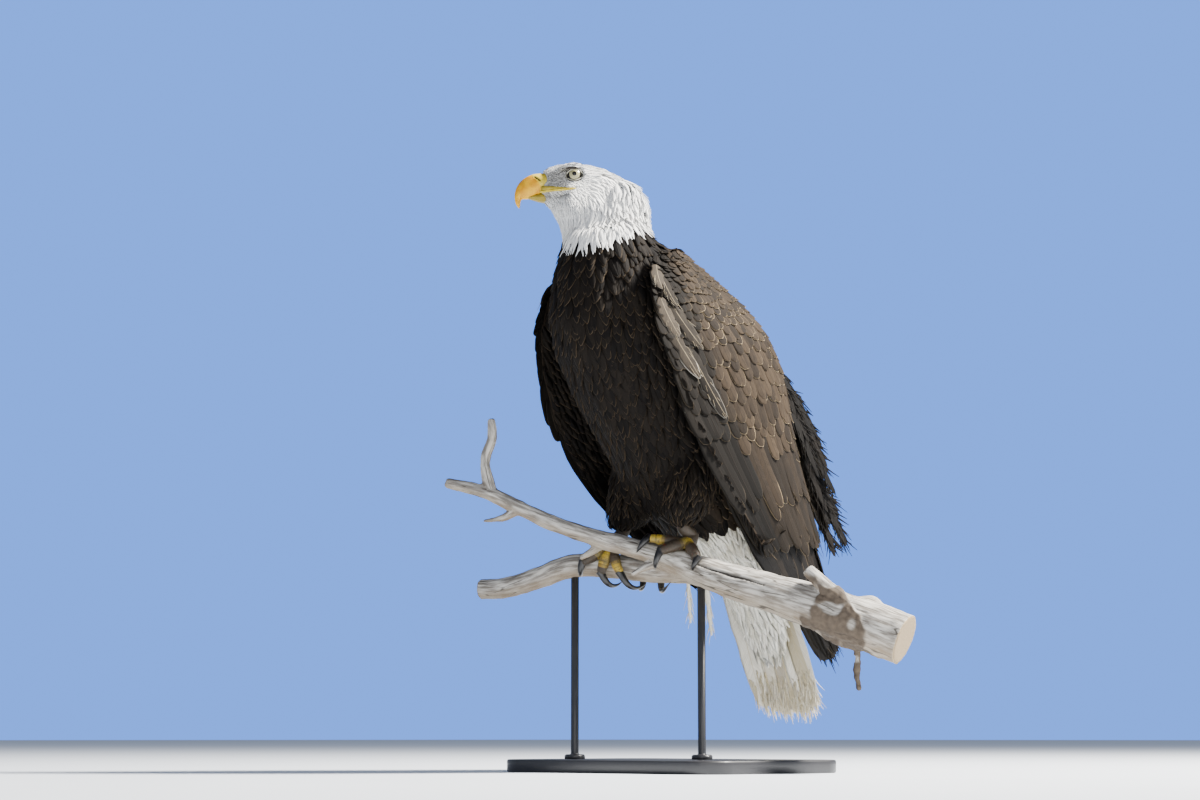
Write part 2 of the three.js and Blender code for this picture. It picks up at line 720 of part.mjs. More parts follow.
// Each wing keeps to its own side of the spine, and each layer lies clear of the one before it.
const bodyRoom = joined([trunkShape(GAP), thighRoom, tailRoom, branchRoom]);
const WING_LAYERS = [
  ["coverts", wingFeathers, armShape],
  ["tertials", flightFeathers, tertialsShape],
  ["secondaries", flightFeathers, secondariesShape],
  ["primaries", flightFeathers, primariesShape],
];
for (const [side, hand] of SIDES) {
  const taken = [mirrored(bodyRoom, hand)];
  for (const [layer, material, shape] of WING_LAYERS) {
    const half = shape(0).trimByPlane([1, 0, 0], GAP);
    piece(`wing_${side}_${layer}`, material, mirrored(cut(half, ...taken), hand));
    taken.push(shape(GAP));
  }
}

piece("stand_base", blackMetal, baseShape());
for (const [name, x, y] of RODS) {
  piece(name, blackMetal, cut(rodShape(x, y), branchRoom));
}

export default model;
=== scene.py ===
# A bald eagle at rest on a cut length of bare branch, held up by a plain display stand.
# Metres; +Z is up, the bird faces -Y and its left side is +X.

import math

import bpy
import numpy as np
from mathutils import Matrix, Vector, noise
from mathutils.bvhtree import BVHTree


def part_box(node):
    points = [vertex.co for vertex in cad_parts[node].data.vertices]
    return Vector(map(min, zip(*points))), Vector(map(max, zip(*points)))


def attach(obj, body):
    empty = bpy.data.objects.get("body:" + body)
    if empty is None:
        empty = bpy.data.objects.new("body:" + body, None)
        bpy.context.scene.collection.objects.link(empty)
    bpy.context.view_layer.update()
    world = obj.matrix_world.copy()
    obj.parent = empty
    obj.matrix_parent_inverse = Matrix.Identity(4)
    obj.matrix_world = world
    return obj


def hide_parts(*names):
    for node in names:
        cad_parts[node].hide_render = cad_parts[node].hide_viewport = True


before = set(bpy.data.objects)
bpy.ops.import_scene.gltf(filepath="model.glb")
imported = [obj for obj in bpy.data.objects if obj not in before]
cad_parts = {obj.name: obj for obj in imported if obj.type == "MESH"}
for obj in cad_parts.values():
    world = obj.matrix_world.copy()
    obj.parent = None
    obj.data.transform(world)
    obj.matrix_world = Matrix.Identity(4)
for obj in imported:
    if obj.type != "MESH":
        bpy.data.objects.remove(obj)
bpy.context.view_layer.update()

# ---- Camera ----
# It stands in front of the bird and to its left, a little lower than the perch, and looks slightly up
# through a long lens.

MM = 0.001
PERCH = np.array([0, -25, 268]) * MM  # the branch's axis between the two feet
AIM = np.array([-30.6, -91.6, 461.3]) * MM
CAMERA_DISTANCE = 3.2
CAMERA_TURN = math.radians(45)  # from the front towards the bird's left
CAMERA_RISE = math.radians(-7.5)  # below level, looking up
LENS = 76.8  # millimetres, for a frame of this width
FRAME_WIDTH = 36

to_camera = np.array([
    math.sin(CAMERA_TURN) * math.cos(CAMERA_RISE),
    -math.cos(CAMERA_TURN) * math.cos(CAMERA_RISE),
    math.sin(CAMERA_RISE),
])
camera_data = bpy.data.cameras.new("camera")
camera_data.lens = LENS
camera_data.sensor_width = FRAME_WIDTH
camera_data.clip_end = 200
camera = bpy.data.objects.new("camera", camera_data)
camera.location = AIM + CAMERA_DISTANCE * to_camera
camera.rotation_euler = Vector(-to_camera).to_track_quat("-Z", "Y").to_euler()
bpy.context.scene.collection.objects.link(camera)
bpy.context.scene.camera = camera

# ---- Floor and light ----
# A wide pale floor under an open blue sky, one lamp high on the camera's right, and a weak, wide one beside
# the camera.


def material(name, roughness, **settings):
    made = bpy.data.materials.new(name)
    made.use_nodes = True
    shader = made.node_tree.nodes["Principled BSDF"]
    shader.inputs["Roughness"].default_value = roughness
    for socket, value in settings.items():
        shader.inputs[socket.replace("_", " ")].default_value = value
    return made


class Wiring:
    """Short ways to add and join the nodes of a material."""

    def __init__(self, made):
        self.tree = made.node_tree
        self.shader = self.tree.nodes["Principled BSDF"]

    def join(self, value, socket):
        if isinstance(value, bpy.types.NodeSocket):
            self.tree.links.new(value, socket)
        else:
            socket.default_value = value

    def node(self, kind, **inputs):
        made = self.tree.nodes.new("ShaderNode" + kind)
        for name, value in inputs.items():
            self.join(value, made.inputs[name.replace("_", " ")])
        return made

    def place(self):
        """Where a point is in its mesh, in metres."""
        return self.node("TexCoord").outputs["Object"]

    def read(self, name, kind="Vector"):
        """A vector, or with "Fac" for kind a value, stored with the mesh."""
        made = self.node("Attribute")
        made.attribute_name = name
        return made.outputs[kind]

    def read_three(self, name):
        """The three values of a vector stored with the mesh."""
        return self.node("SeparateXYZ", Vector=self.read(name)).outputs

    def vector(self, x, y, z):
        return self.node("CombineXYZ", X=x, Y=y, Z=z).outputs[0]

    def math(self, kind, *values):
        made = self.tree.nodes.new("ShaderNodeMath")
        made.operation = kind
        for value, socket in zip(values, made.inputs):
            self.join(value, socket)
        return made.outputs[0]

    def times(self, first, second):
        return self.math("MULTIPLY", first, second)

    def plus(self, first, second):
        return self.math("ADD", first, second)

    def minus(self, first, second):
        return self.math("SUBTRACT", first, second)

    def fade(self, value, start, end, low=0.0, high=1.0):
        """low where value is at start, smoothly to high where it is at end."""
        made = self.node("MapRange", Value=value, From_Min=start, From_Max=end, To_Min=low, To_Max=high)
        made.interpolation_type = "SMOOTHSTEP"
        return made.outputs[0]

    def mix(self, share, first, second):
        """The first colour where share is 0, the second where it is 1."""
        made = self.tree.nodes.new("ShaderNodeMix")
        made.data_type = "RGBA"
        # A Mix node has a set of sockets for each kind of data: these are the colours'.
        for value, number in ((share, 0), (first, 6), (second, 7)):
            self.join(value, made.inputs[number])
        return made.outputs[2]

    def grain(self, vector, scale, detail=3.0):
        return self.node("TexNoise", Vector=vector, Scale=scale, Detail=detail).outputs["Fac"]

    def colour(self, value):
        self.join(value, self.shader.inputs["Base Color"])

    def bump(self, height, strength, distance):
        bump = self.node("Bump", Height=height, Strength=strength, Distance=distance)
        self.join(bump.outputs[0], self.shader.inputs["Normal"])


def srgb(red, green, blue):
    """A colour from its everyday 0 to 255 values, by a screen's usual curve."""
    levels = (red, green, blue)
    return tuple(((v / 255 + 0.055) / 1.055) ** 2.4 if v > 10 else v / 3294 for v in levels) + (1.0,)


floor_paint = material("floor_paint", 0.9)
wires = Wiring(floor_paint)
speckle = wires.grain(wires.place(), 3.0)
wires.colour(wires.mix(speckle, srgb(214, 220, 228), srgb(222, 227, 234)))
FLOOR_SIZE = 60  # metres
bpy.ops.mesh.primitive_grid_add(x_subdivisions=2, y_subdivisions=2, size=FLOOR_SIZE)
floor = bpy.context.object
floor.name = "floor"
floor.data.materials.append(floor_paint)

world = bpy.data.worlds.new("sky")
bpy.context.scene.world = world
world.use_nodes = True
sky = world.node_tree.nodes
sky["Background"].inputs["Color"].default_value = srgb(198, 212, 240)
sky["Background"].inputs["Strength"].default_value = 0.55
# The sky that the camera sees is a clear blue, and what it sheds on the bird is paler and weaker.
shown = sky.new("ShaderNodeBackground")
shown.inputs["Color"].default_value = srgb(98, 152, 255)
shown.inputs["Strength"].default_value = 1.6
seen = sky.new("ShaderNodeMixShader")
join = world.node_tree.links.new
join(sky.new("ShaderNodeLightPath").outputs["Is Camera Ray"], seen.inputs[0])
join(sky["Background"].outputs[0], seen.inputs[1])
join(shown.outputs[0], seen.inputs[2])
join(seen.outputs[0], sky["World Output"].inputs[0])


def lamp(name, place, size, watts, tint):
    data = bpy.data.lights.new(name, "AREA")
    data.size = size
    data.energy = watts
    data.color = tint
    made = bpy.data.objects.new(name, data)
    made.location = place
    aim = Vector(AIM) - made.location
    made.rotation_euler = aim.to_track_quat("-Z", "Y").to_euler()
    bpy.context.scene.collection.objects.link(made)


lamp("key_lamp", (2.1, 1.75, 3.3), 0.8, 1120, (1.0, 0.96, 0.89))
lamp("front_lamp", (2.4, -2.4, 0.9), 2.2, 26, (1.0, 0.95, 0.87))

# ---- Stand ----
# A painted board with rounded edges, and two slim painted steel rods that are let into it through small
# turned collars and run up into the wood of the branch.


def shape(name, points, faces, smooth=True):
    mesh = bpy.data.meshes.new(name)
    mesh.from_pydata([tuple(p) for p in points], [], faces)
    if smooth:
        mesh.shade_smooth()
    made = bpy.data.objects.new(name, mesh)
    bpy.context.scene.collection.objects.link(made)
    return made


def wrap_rings(rings):
    """Points and faces of a closed body through rings of points, of the same number each."""
    count = len(rings[0])
    points = np.concatenate([np.concatenate(rings), [np.mean(rings[0], 0), np.mean(rings[-1], 0)]])
    start, end = len(points) - 2, len(points) - 1
    last = (len(rings) - 1) * count
    faces = []
    for k in range(count):
        step = (k + 1) % count
        faces += [(r * count + k, r * count + step, (r + 1) * count + step, (r + 1) * count + k)
                  for r in range(len(rings) - 1)]
        faces += [(start, step, k), (end, last + k, last + step)]
    return points, faces


def settle(piece, slot, *nodes):
    """The piece stands for these CAD nodes, which it hides; slot is not used."""
    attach(piece, "root")
    if nodes:
        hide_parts(*nodes)


def paint(name, colour, roughness, worn):
    made = material(name, roughness, Coat_Weight=0.15)
    wires = Wiring(made)
    place = wires.place()
    wires.colour(wires.mix(wires.grain(place, 35.0), colour, worn))
    wires.bump(wires.grain(place, 420.0, 2.0), 0.12, 0.001)
    return made


board_paint = paint("board_paint", srgb(34, 34, 37), 0.42, srgb(44, 43, 45))
rod_paint = paint("rod_paint", srgb(38, 39, 42), 0.34, srgb(50, 50, 53))

low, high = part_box("stand_base")
BOARD_CORNER = 46 * MM
BOARD_EDGE = 2.6 * MM  # the rounding of its upper and lower edges
STAND_SIDES = 96
middle = (low + high) / 2
half_x, half_y = (high.x - low.x) / 2, (high.y - low.y) / 2
turns = np.linspace(0, 2 * math.pi, STAND_SIDES, endpoint=False)
rings = []
for lean in np.linspace(-math.pi / 2, math.pi / 2, 9):
    inset = BOARD_EDGE * (1 - math.cos(lean))
    rise = low.z + BOARD_EDGE if lean < 0 else high.z - BOARD_EDGE
    round_x = np.sign(np.cos(turns)) * (half_x - BOARD_CORNER) + (BOARD_CORNER - inset) * np.cos(turns)
    round_y = np.sign(np.sin(turns)) * (half_y - BOARD_CORNER) + (BOARD_CORNER - inset) * np.sin(turns)
    height = np.full(len(turns), rise + BOARD_EDGE * math.sin(lean))
    rings.append(np.stack([middle.x + round_x, middle.y + round_y, height], 1))
board = shape("stand_board", *wrap_rings(rings))
board.data.materials.append(board_paint)
settle(board, "stand_board", "stand_base")

ROD_RADIUS = 5 * MM
COLLAR_RADIUS = 13 * MM
COLLAR_HEIGHT = 6 * MM
COLLAR_BEVEL = 0.6 * MM  # at its foot
COLLAR_ROUNDING = 3 * MM  # of its shoulder
ROD_FILLET = 1.5 * MM  # where the rod leaves it
LET_IN = 3 * MM  # how far a rod runs on into the wood
for side in ("left", "right"):
    node = "stand_rod_" + side
    low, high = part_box(node)
    centre = (low + high) / 2
    top = high.z + LET_IN
    profile = [(COLLAR_RADIUS - COLLAR_BEVEL, low.z), (COLLAR_RADIUS, low.z + COLLAR_BEVEL)]
    for lean in np.linspace(0, math.pi / 2, 6):
        profile.append((
            COLLAR_RADIUS - COLLAR_ROUNDING * (1 - math.cos(lean)),
            low.z + COLLAR_HEIGHT - COLLAR_ROUNDING + COLLAR_ROUNDING * math.sin(lean),
        ))
    for lean in np.linspace(0, math.pi / 2, 5):
        profile.append((
            ROD_RADIUS + ROD_FILLET * (1 - math.sin(lean)),
            low.z + COLLAR_HEIGHT + ROD_FILLET * (1 - math.cos(lean)),
        ))
    profile.append((ROD_RADIUS, top))
    rings = [np.stack([centre.x + r * np.cos(turns), centre.y + r * np.sin(turns), np.full(len(turns), z)], 1)
             for r, z in profile]
    rod = shape(node + "_turned", *wrap_rings(rings))
    rod.data.materials.append(rod_paint)
    settle(rod, "stand_steel", node)

# ---- Branch ----
# A cut fork of dead wood, bleached grey above and tan below, and bare but for some bark near the thick end.
# Its side shoots are broken off short, but for a twig that hangs. It has one long drying crack and many fine
# ones, and a plain saw cut at the thick end and at the end of the lower arm.

# x, y, z and radius in millimetres along each stem, from the perch; the last of the shoots is the twig
STEM = [
    [298, 121, -109, 31], [246, 101, -87, 29.5], [175, 72, -61, 25.5], [127, 53, -45, 23],
    [79, 33, -29, 20.5], [43, 14, -14, 18], [5, -14, 3, 13.5], [-48, -49, 21, 11],
    [-107, -88, 46, 10], [-166, -128, 80, 9], [-214, -160, 96, 6.5],
]
LOWER_STEM = [
    [60, 24, -22, 14], [18, 11, -19, 16], [-12, 3, -17, 16], [-74, -24, -9, 15],
    [-111, -40, -10, 15], [-149, -56, -23, 14], [-193, -76, -35, 13.5], [-225, -90, -36, 13],
]
SHOOTS = [
    [[-164, -126, 78, 8], [-172, -131, 119, 7], [-164, -127, 151, 6.5], [-165, -128, 176, 4.5]],
    [[-134, -106, 62, 7], [-150, -118, 50, 5], [-172, -134, 46, 2]],
    [[-40, -43, 20, 6], [-58, -50, 8, 5], [-76, -56, -2, 3.5]],
    [[262, 104, -92, 14], [232, 82, -62, 11], [196, 62, -22, 8]],
    [[240, 103, -62, 7], [256, 112, -66, 10], [274, 118, -84, 7]],
    [[184, 84, -84, 9], [222, 98, -102, 14], [262, 110, -118, 6]],
    [[22, -2, -8, 8], [8, -20, -14, 6], [-4, -38, -25, 4]],
    [[228, 103, -96, 5], [235, 108, -120, 3.4], [234, 107, -144, 3], [236, 108, -168, 2.6]],
]


def curve_through(before, here, there, after, f):
    """A place between here and there, by its share f, on the smooth curve through four places."""
    slope_in, slope_out = (there - before) / 2, (after - here) / 2
    return ((2 * f**3 - 3 * f**2 + 1) * here + (f**3 - 2 * f**2 + f) * slope_in
            + (3 * f**2 - 2 * f**3) * there + (f**3 - f**2) * slope_out)


def row_at(table, place):
    """Rows of a table at places between its first (0) and its last (1), on smooth curves."""
    table = np.asarray(table, float)
    reach = np.asarray(place, float) * (len(table) - 1)
    k = np.clip(np.floor(reach).astype(int), 0, len(table) - 2)

    def row(i):
        return table[np.clip(i, 0, len(table) - 1)]

    return curve_through(row(k - 1), row(k), row(k + 1), row(k + 2), (reach - k)[..., None])


def unit(v):
    return v / np.maximum(np.linalg.norm(v, axis=-1, keepdims=True), 1e-12)


def carried_sides(centres):
    """Two directions square to a line of places and to each other, turning as little as they can."""
    runs = unit(np.gradient(centres, axis=0))
    side = np.array([0.3, 0.9, 0.2])
    sides = []
    for run in runs:
        side = unit(side - run * side.dot(run))
        sides.append(side)
    sides = np.array(sides)
    return sides, np.cross(runs, sides)


def tube_rings(centres, radii, count):
    """Rings of count points round a line of places."""
    sides, ups = carried_sides(centres)
    angles = np.linspace(0, 2 * math.pi, count, endpoint=False)
    ring = np.cos(angles)[None, :, None] * sides[:, None] + np.sin(angles)[None, :, None] * ups[:, None]
    return centres[:, None] + ring * np.asarray(radii)[:, None, None]


THINNEST = 0.4  # the least radius of a stem, in millimetres


def limb_line(rows, steps):
    line = row_at(rows, np.linspace(0, 1, steps))
    return PERCH + line[:, :3] * MM, np.maximum(line[:, 3], THINNEST) * MM


def gathered(bodies):
    """The points and the faces of several bodies, as one list of each."""
    points, faces = [], []
    for body_points, body_faces in bodies:
        shift = sum(len(p) for p in points)
        points.append(np.asarray(body_points))
        faces += [tuple(i + shift for i in face) for face in body_faces]
    return np.concatenate(points), faces


def melted(name, bodies, voxel):
    """A new object with one closed skin round several closed bodies."""
    rough = shape(name + "_rough", *gathered(bodies))
    remesh = rough.modifiers.new("melt", "REMESH")
    remesh.mode = "VOXEL"
    remesh.voxel_size = voxel
    depsgraph = bpy.context.evaluated_depsgraph_get()
    mesh = bpy.data.meshes.new_from_object(rough.evaluated_get(depsgraph), depsgraph=depsgraph)
    mesh.name = name
    bpy.data.objects.remove(rough)
    made = bpy.data.objects.new(name, mesh)
    bpy.context.scene.collection.objects.link(made)
    mesh.shade_smooth()
    return made


def read_points(mesh, what):
    """The places ("co") or the ways out ("normal") of a mesh's points."""
    found = np.empty(len(mesh.vertices) * 3, np.float32)
    mesh.vertices.foreach_get(what, found)
    return found.reshape(-1, 3).astype(float)


def put_points(mesh, points):
    mesh.vertices.foreach_set("co", np.asarray(points, np.float32).ravel())
    mesh.update()


def store(mesh, name, values):
    """Keeps a value or a vector for each point, for the material to read."""
    values = np.asarray(values, np.float32)
    kind, key = ("FLOAT_VECTOR", "vector") if values.ndim == 2 else ("FLOAT", "value")
    mesh.attributes.new(name, kind, "POINT").data.foreach_set(key, values.ravel())


def relaxed(mesh, points, rounds, share=0.5):
    """Points eased towards the middle of their neighbours."""
    edges = np.empty(len(mesh.edges) * 2, np.int32)
    mesh.edges.foreach_get("vertices", edges)
    a, b = edges.reshape(-1, 2).T
    ends, others = np.concatenate([a, b]), np.concatenate([b, a])
    degree = np.maximum(np.bincount(ends, minlength=len(points)), 1)[:, None]
    share = np.broadcast_to(np.asarray(share, float), len(points))[:, None]
    for _ in range(rounds):
        total = np.stack([np.bincount(ends, points[others, k], len(points)) for k in range(3)], 1)
        points = points + share * (total / degree - points)
    return points


def smoothed(line, rounds):
    """A line of places with its kinks eased out and its ends kept."""
    line = line.copy()
    for _ in range(rounds):
        line[1:-1] = (line[:-2] + line[1:-1] * 2 + line[2:]) / 4
    return line


def from_perch(points):
    """Places in millimetres from the perch."""
    return (points - PERCH) / MM


def noise_at(points, seed):
    """Smooth noise from about -1 to 1, with lumps about as wide as one unit of the places."""
    shift = Vector((seed * 7.3, seed * 3.1, seed * 5.7))
    return np.array([noise.noise(Vector(p) + shift) for p in points])


def step_between(value, start, end):
    """0 where value is at start, smoothly to 1 where it is at end."""
    f = np.clip((value - start) / (end - start), 0, 1)
    return f * f * (3 - 2 * f)


BRANCH_VOXEL = 1.7 * MM
LIMB_SIDES = 28
stems = [limb_line(STEM, 90), limb_line(LOWER_STEM, 60)] + [limb_line(rows, 16) for rows in SHOOTS]
bodies = [wrap_rings(list(tube_rings(*line, LIMB_SIDES))) for line in stems]
branch = melted("branch_wood", bodies, BRANCH_VOXEL)
wood_points = relaxed(branch.data, read_points(branch.data, "co"), 6)
put_points(branch.data, wood_points)
wood_normals = read_points(branch.data, "normal")

# Each point's place along the line of its stem, and out from it.
STEM_SHIFT = 0.7  # metres from one stem's start to the next one's, so that no two share their grain
CHUNK = 4000  # how many points are measured at a time
lines = np.concatenate([line for line, _ in stems])
line_radii = np.concatenate([radii for _, radii in stems])
line_runs = np.concatenate([unit(np.gradient(line, axis=0)) for line, _ in stems])
line_lengths = np.concatenate([
    np.cumsum(np.linalg.norm(np.diff(line, axis=0, prepend=line[:1]), axis=1)) + STEM_SHIFT * number
    for number, (line, _) in enumerate(stems)
])
nearest = np.empty(len(wood_points), int)
for start in range(0, len(wood_points), CHUNK):
    chunk = wood_points[start:start + CHUNK]
    reach = np.linalg.norm(chunk[:, None] - lines[None], axis=2) - 0.9 * line_radii[None]
    nearest[start:start + CHUNK] = reach.argmin(1)
offset = wood_points - lines[nearest]
past = (offset * line_runs[nearest]).sum(1)
along = line_lengths[nearest] + past
outwards = offset - line_runs[nearest] * past[:, None]

# The grain is drawn out along the stem; the fine cracks' pattern changes this fast along it and round it.
GRAIN_STRETCH = 0.12
CHECKS_ALONG = 7
CHECKS_ROUND = 1.6
grain = np.stack([
    along * GRAIN_STRETCH + outwards[:, 0] * 0.2, outwards[:, 1] + along * 0.02, outwards[:, 2]], 1)
around = np.concatenate([along[:, None] * CHECKS_ALONG, unit(outwards)[:, 1:] * CHECKS_ROUND], 1)
# Broad lumps, and ridges along the grain, in millimetres.
lumps = noise_at(wood_points * 38, 1) * 1.5 + noise_at(wood_points * 95, 2) * 0.5
ridges = noise_at(grain * 420, 3) * 0.45 + noise_at(grain * 900, 4) * 0.22

# One long drying crack runs along the thick stem. Its line starts out beside the stem, and each place of it
# moves to the nearest wood.
CRACK_ENDS = np.array([[64, 8, -12], [141, 40, -39]])  # in millimetres from the perch
CRACK_SIDE = unit(np.array([0.55, -0.8, 0.25]))
CRACK_OUT = 30
CRACK_FLOOR = 1.0  # half the width at its bottom and at its lips, and its depth
CRACK_LIPS = 2.8
CRACK_DEPTH = 2.2
crack_places = np.linspace(0, 1, 70)
crack_line = CRACK_ENDS[0] + np.outer(crack_places, CRACK_ENDS[1] - CRACK_ENDS[0]) + CRACK_SIDE * CRACK_OUT
crack_line = PERCH + crack_line * MM
on_wood = [np.linalg.norm(wood_points - spot, axis=1).argmin() for spot in crack_line]
crack_gap = np.full(len(wood_points), 1.0)
for place, spot in zip(crack_places, smoothed(wood_points[on_wood], 30)):
    narrowed = 1 - 0.6 * abs(2 * place - 1)
    crack_gap = np.minimum(crack_gap, np.linalg.norm(wood_points - spot, axis=1) / narrowed)
cracks = 1 - step_between(crack_gap / MM, CRACK_FLOOR, CRACK_LIPS)

# Bark is left round the stub near the thick end and on the knob below it.
BARK_MIDDLE = 236  # across, in millimetres from the perch
BARK_REACH = 50
BARK_THICKNESS = 1.3
wood_places = from_perch(wood_points)
bark_gap = np.abs(wood_places[:, 0] - BARK_MIDDLE) / BARK_REACH
bark = step_between(noise_at(wood_points * 55, 7) + 0.4 - bark_gap - 0.5 * wood_normals[:, 2], 0, 0.2)

# The two sawn faces stay flat: the lower arm's, whose plane counts only out at that end, and the thick end's.
SAWN = 1.6 * MM  # wood this near a cut's plane is part of its face
lower_line = stems[1][0]
cut_end = np.abs((wood_points - lower_line[-1]) @ unit(lower_line[-1] - lower_line[-3])) < SAWN
cut_end &= (wood_places[:, 0] < -200) & (wood_places[:, 2] < 0)
cut_end |= np.abs((wood_points - lines[0]) @ line_runs[0]) < SAWN
cut_end = cut_end.astype(float)
bark_lift = bark * (BARK_THICKNESS + 1.2 * noise_at(wood_points * 160, 8))
lift = lumps + ridges - CRACK_DEPTH * cracks + bark_lift
put_points(branch.data, wood_points + wood_normals * (lift * (1 - cut_end) * MM)[:, None])
store(branch.data, "grain", grain)
store(branch.data, "wood_marks", np.stack([cracks, bark, cut_end], 1))
store(branch.data, "heart", np.linalg.norm(outwards, axis=1) / MM)
store(branch.data, "around", around)
store(branch.data, "under", step_between(-wood_normals[:, 2], -0.1, 0.8))

dead_wood = material("dead_wood", 0.82)
wires = Wiring(dead_wood)
grain_place = wires.read("grain")
crack, plates, sawn = wires.read_three("wood_marks")
streaks = wires.grain(grain_place, 300.0, 6.0)
fibres = wires.grain(grain_place, 1400.0, 3.0)
object_place = wires.place()
stains = wires.grain(object_place, 26.0, 4.0)
bleached = wires.mix(wires.fade(streaks, 0.36, 0.66), srgb(112, 106, 98), srgb(190, 186, 178))
tanned = wires.mix(wires.fade(stains, 0.42, 0.62), srgb(124, 107, 85), srgb(156, 144, 126))
under = wires.times(wires.read("under", "Fac"), 0.85)
colour = wires.mix(under, bleached, tanned)
colour = wires.mix(wires.fade(stains, 0.55, 0.75, 0.0, 0.55), colour, srgb(96, 84, 72))
colour = wires.mix(wires.fade(fibres, 0.55, 0.8, 0.0, 0.35), colour, srgb(206, 201, 192))
bark_colour = wires.mix(wires.grain(object_place, 180.0), srgb(46, 38, 31), srgb(104, 90, 74))
colour = wires.mix(plates, colour, bark_colour)
# Fine dark cracks follow the wood's length, and come and go with the stains.
checks = wires.grain(wires.read("around"), 1.0, 2.0)
checks = wires.math("ABSOLUTE", wires.minus(checks, 0.5))
checks = wires.times(wires.fade(checks, 0.004, 0.014, 1.0, 0.0), wires.fade(stains, 0.4, 0.52))
colour = wires.mix(wires.times(checks, 0.8), colour, srgb(46, 38, 30))
# The crack's groove is painted nearly black: painted shade in it.
colour = wires.mix(crack, colour, srgb(34, 27, 21))
growth = wires.math("SINE", wires.times(wires.read("heart", "Fac"), 3.4))
ring_colour = wires.mix(wires.fade(growth, -0.6, 0.8), srgb(122, 101, 74), srgb(164, 145, 114))
wires.colour(wires.mix(sawn, colour, ring_colour))
wires.bump(wires.plus(streaks, wires.times(fibres, 0.5)), 0.5, 0.0012)
branch.data.materials.append(dead_wood)
settle(branch, "bare_wood", "perch_branch")

# ---- Feet ----
# Bare toes with broad horny plates over their tops and soft pads under them, closed round the wood, and long
# black talons let into their ends. Their yellow shows on some plates only: the others are painted a dull dark
# colour, partly for dust and partly as painted shade, and painted shade darkens the creases between them.

# Each foot's place on the branch's axis, the way the wood runs there, and its radius, in millimetres
FEET = {
    "left": {"middle": [35, 10, -11], "along": [0.79, 0.5, -0.34], "radius": 18, "shin": [42, 8, 34]},
    "right": {"middle": [-56, -16, -12], "along": [0.9, 0.39, -0.1], "radius": 16, "shin": [-48, -6, 36]},
}
# name; 1 in front of the wood or -1 behind; radius; degrees round the wood; drift along it; off it; then
# the talon's degrees round, its loop off the wood and its sweep along it
TOES = {
    "left": [
        ("inner", 1, 6, 48, -46, 0, 58, 4, -8), ("middle", 1, 6.5, 76, -25, 0, 66, 6, 0),
        ("outer", 1, 6.5, 58, 22, 0, 42, 3, -2), ("hind", -1, 6.5, 132, -24, 9, 74, 9, 22),
    ],
    "right": [
        ("inner", 1, 6, 112, 18, 0, 78, 7, 26), ("middle", 1, 6.5, 116, -8, 0, 74, 6, 20),
        ("outer", 1, 7, 88, -34, 0, 60, 3, -5), ("hind", -1, 6.5, 104, 30, 4, 70, 6, 4),
    ],
}
TOE_CLEAR = 0.8  # between a toe and the wood
TOE_START = 12  # degrees round the wood from its top
TOE_ARCH = 3  # how much further off the wood a toe is at its root
TOE_JOINTS = [1.05, 0.95, 1.08, 0.95, 0.86]  # share of its radius from root to end: the joints swell
TOE_RINGS = 64
TOE_SIDES = 28
PLATE_LENGTH = 3.6  # of each horny plate along a toe
PLATE_CURVE = 0.12  # how far a plate's edges curve on at its sides, as a share of its length
PLATE_RISE = 0.75
PAD_LENGTH = 11  # from one pad under a toe to the next
PAD_RISE = 0.55
BALL_RADIUS = 10
SHANK_RADIUS = 8
SHANK_RINGS = 44
SHANK_TOP = 26  # above the shin: how far the shank runs up into the thigh
HEEL = 20  # how far the heel stands off the wood
TALON_RADIUS = 4.9
TALON_POINT = 0.25
TALON_RINGS = 40
TALON_SIDES = 20
TALON_ROOT = 0.12  # the share of its length that a talon starts inside the toe


def round_wood(foot, side, degrees, distance, drift):
    """A point round the branch, in millimetres from the perch, from the angle off its top towards side."""
    run = unit(np.array(foot["along"], float))
    up = unit(np.array([0, 0, 1.0]) - run * run[2])
    front = np.cross(run, up)
    angle = np.radians(degrees)
    return (np.array(foot["middle"], float) + np.multiply.outer(side * distance * np.sin(angle), front)
            + np.multiply.outer(distance * np.cos(angle), up) + np.multiply.outer(drift, run))


def scaly_tube(centres, radii, top):
    """Rings of a toe, with flat plates on the side towards top and rows of small pads under, and for each
    point how deep in a crease it is, and a number that its plate shares."""
    runs = unit(np.gradient(centres, axis=0))
    length = np.cumsum(np.linalg.norm(np.diff(centres, axis=0, prepend=centres[:1]), axis=1))
    ups = unit(top - runs * (top * runs).sum(1)[:, None])
    sides = np.cross(runs, ups)
    angles = np.linspace(0, 2 * math.pi, TOE_SIDES, endpoint=False)
    rise, swing = np.cos(angles)[None], np.sin(angles)[None]
    number = length[:, None] / PLATE_LENGTH + PLATE_CURVE * swing**2
    phase = number % 1
    plate = step_between(rise, 0.0, 0.5) * (PLATE_RISE * step_between(phase, 0, 0.22) - 0.2 * phase)
    wave = np.sin(length * 2 * math.pi / PAD_LENGTH)[:, None]
    pads = step_between(-rise, 0.2, 0.9) * (PAD_RISE * wave + 0.3)
    reach = np.asarray(radii)[:, None] * (1 + 0.04 * swing**2) + (plate + pads)
    ways = rise[..., None] * ups[:, None] + swing[..., None] * sides[:, None]
    crease = step_between(rise, -0.2, 0.3) * (1 - step_between(phase, 0, 0.25))
    band = 0.5 + 0.5 * np.sin(np.floor(number) * 12.9 + length[-1] * 7)
    return centres[:, None] + reach[..., None] * ways, crease, band


def eased(values, count):
    """Values given at even places, on a smooth curve through them."""
    return row_at(np.asarray(values, float).reshape(len(values), -1), np.linspace(0, 1, count))


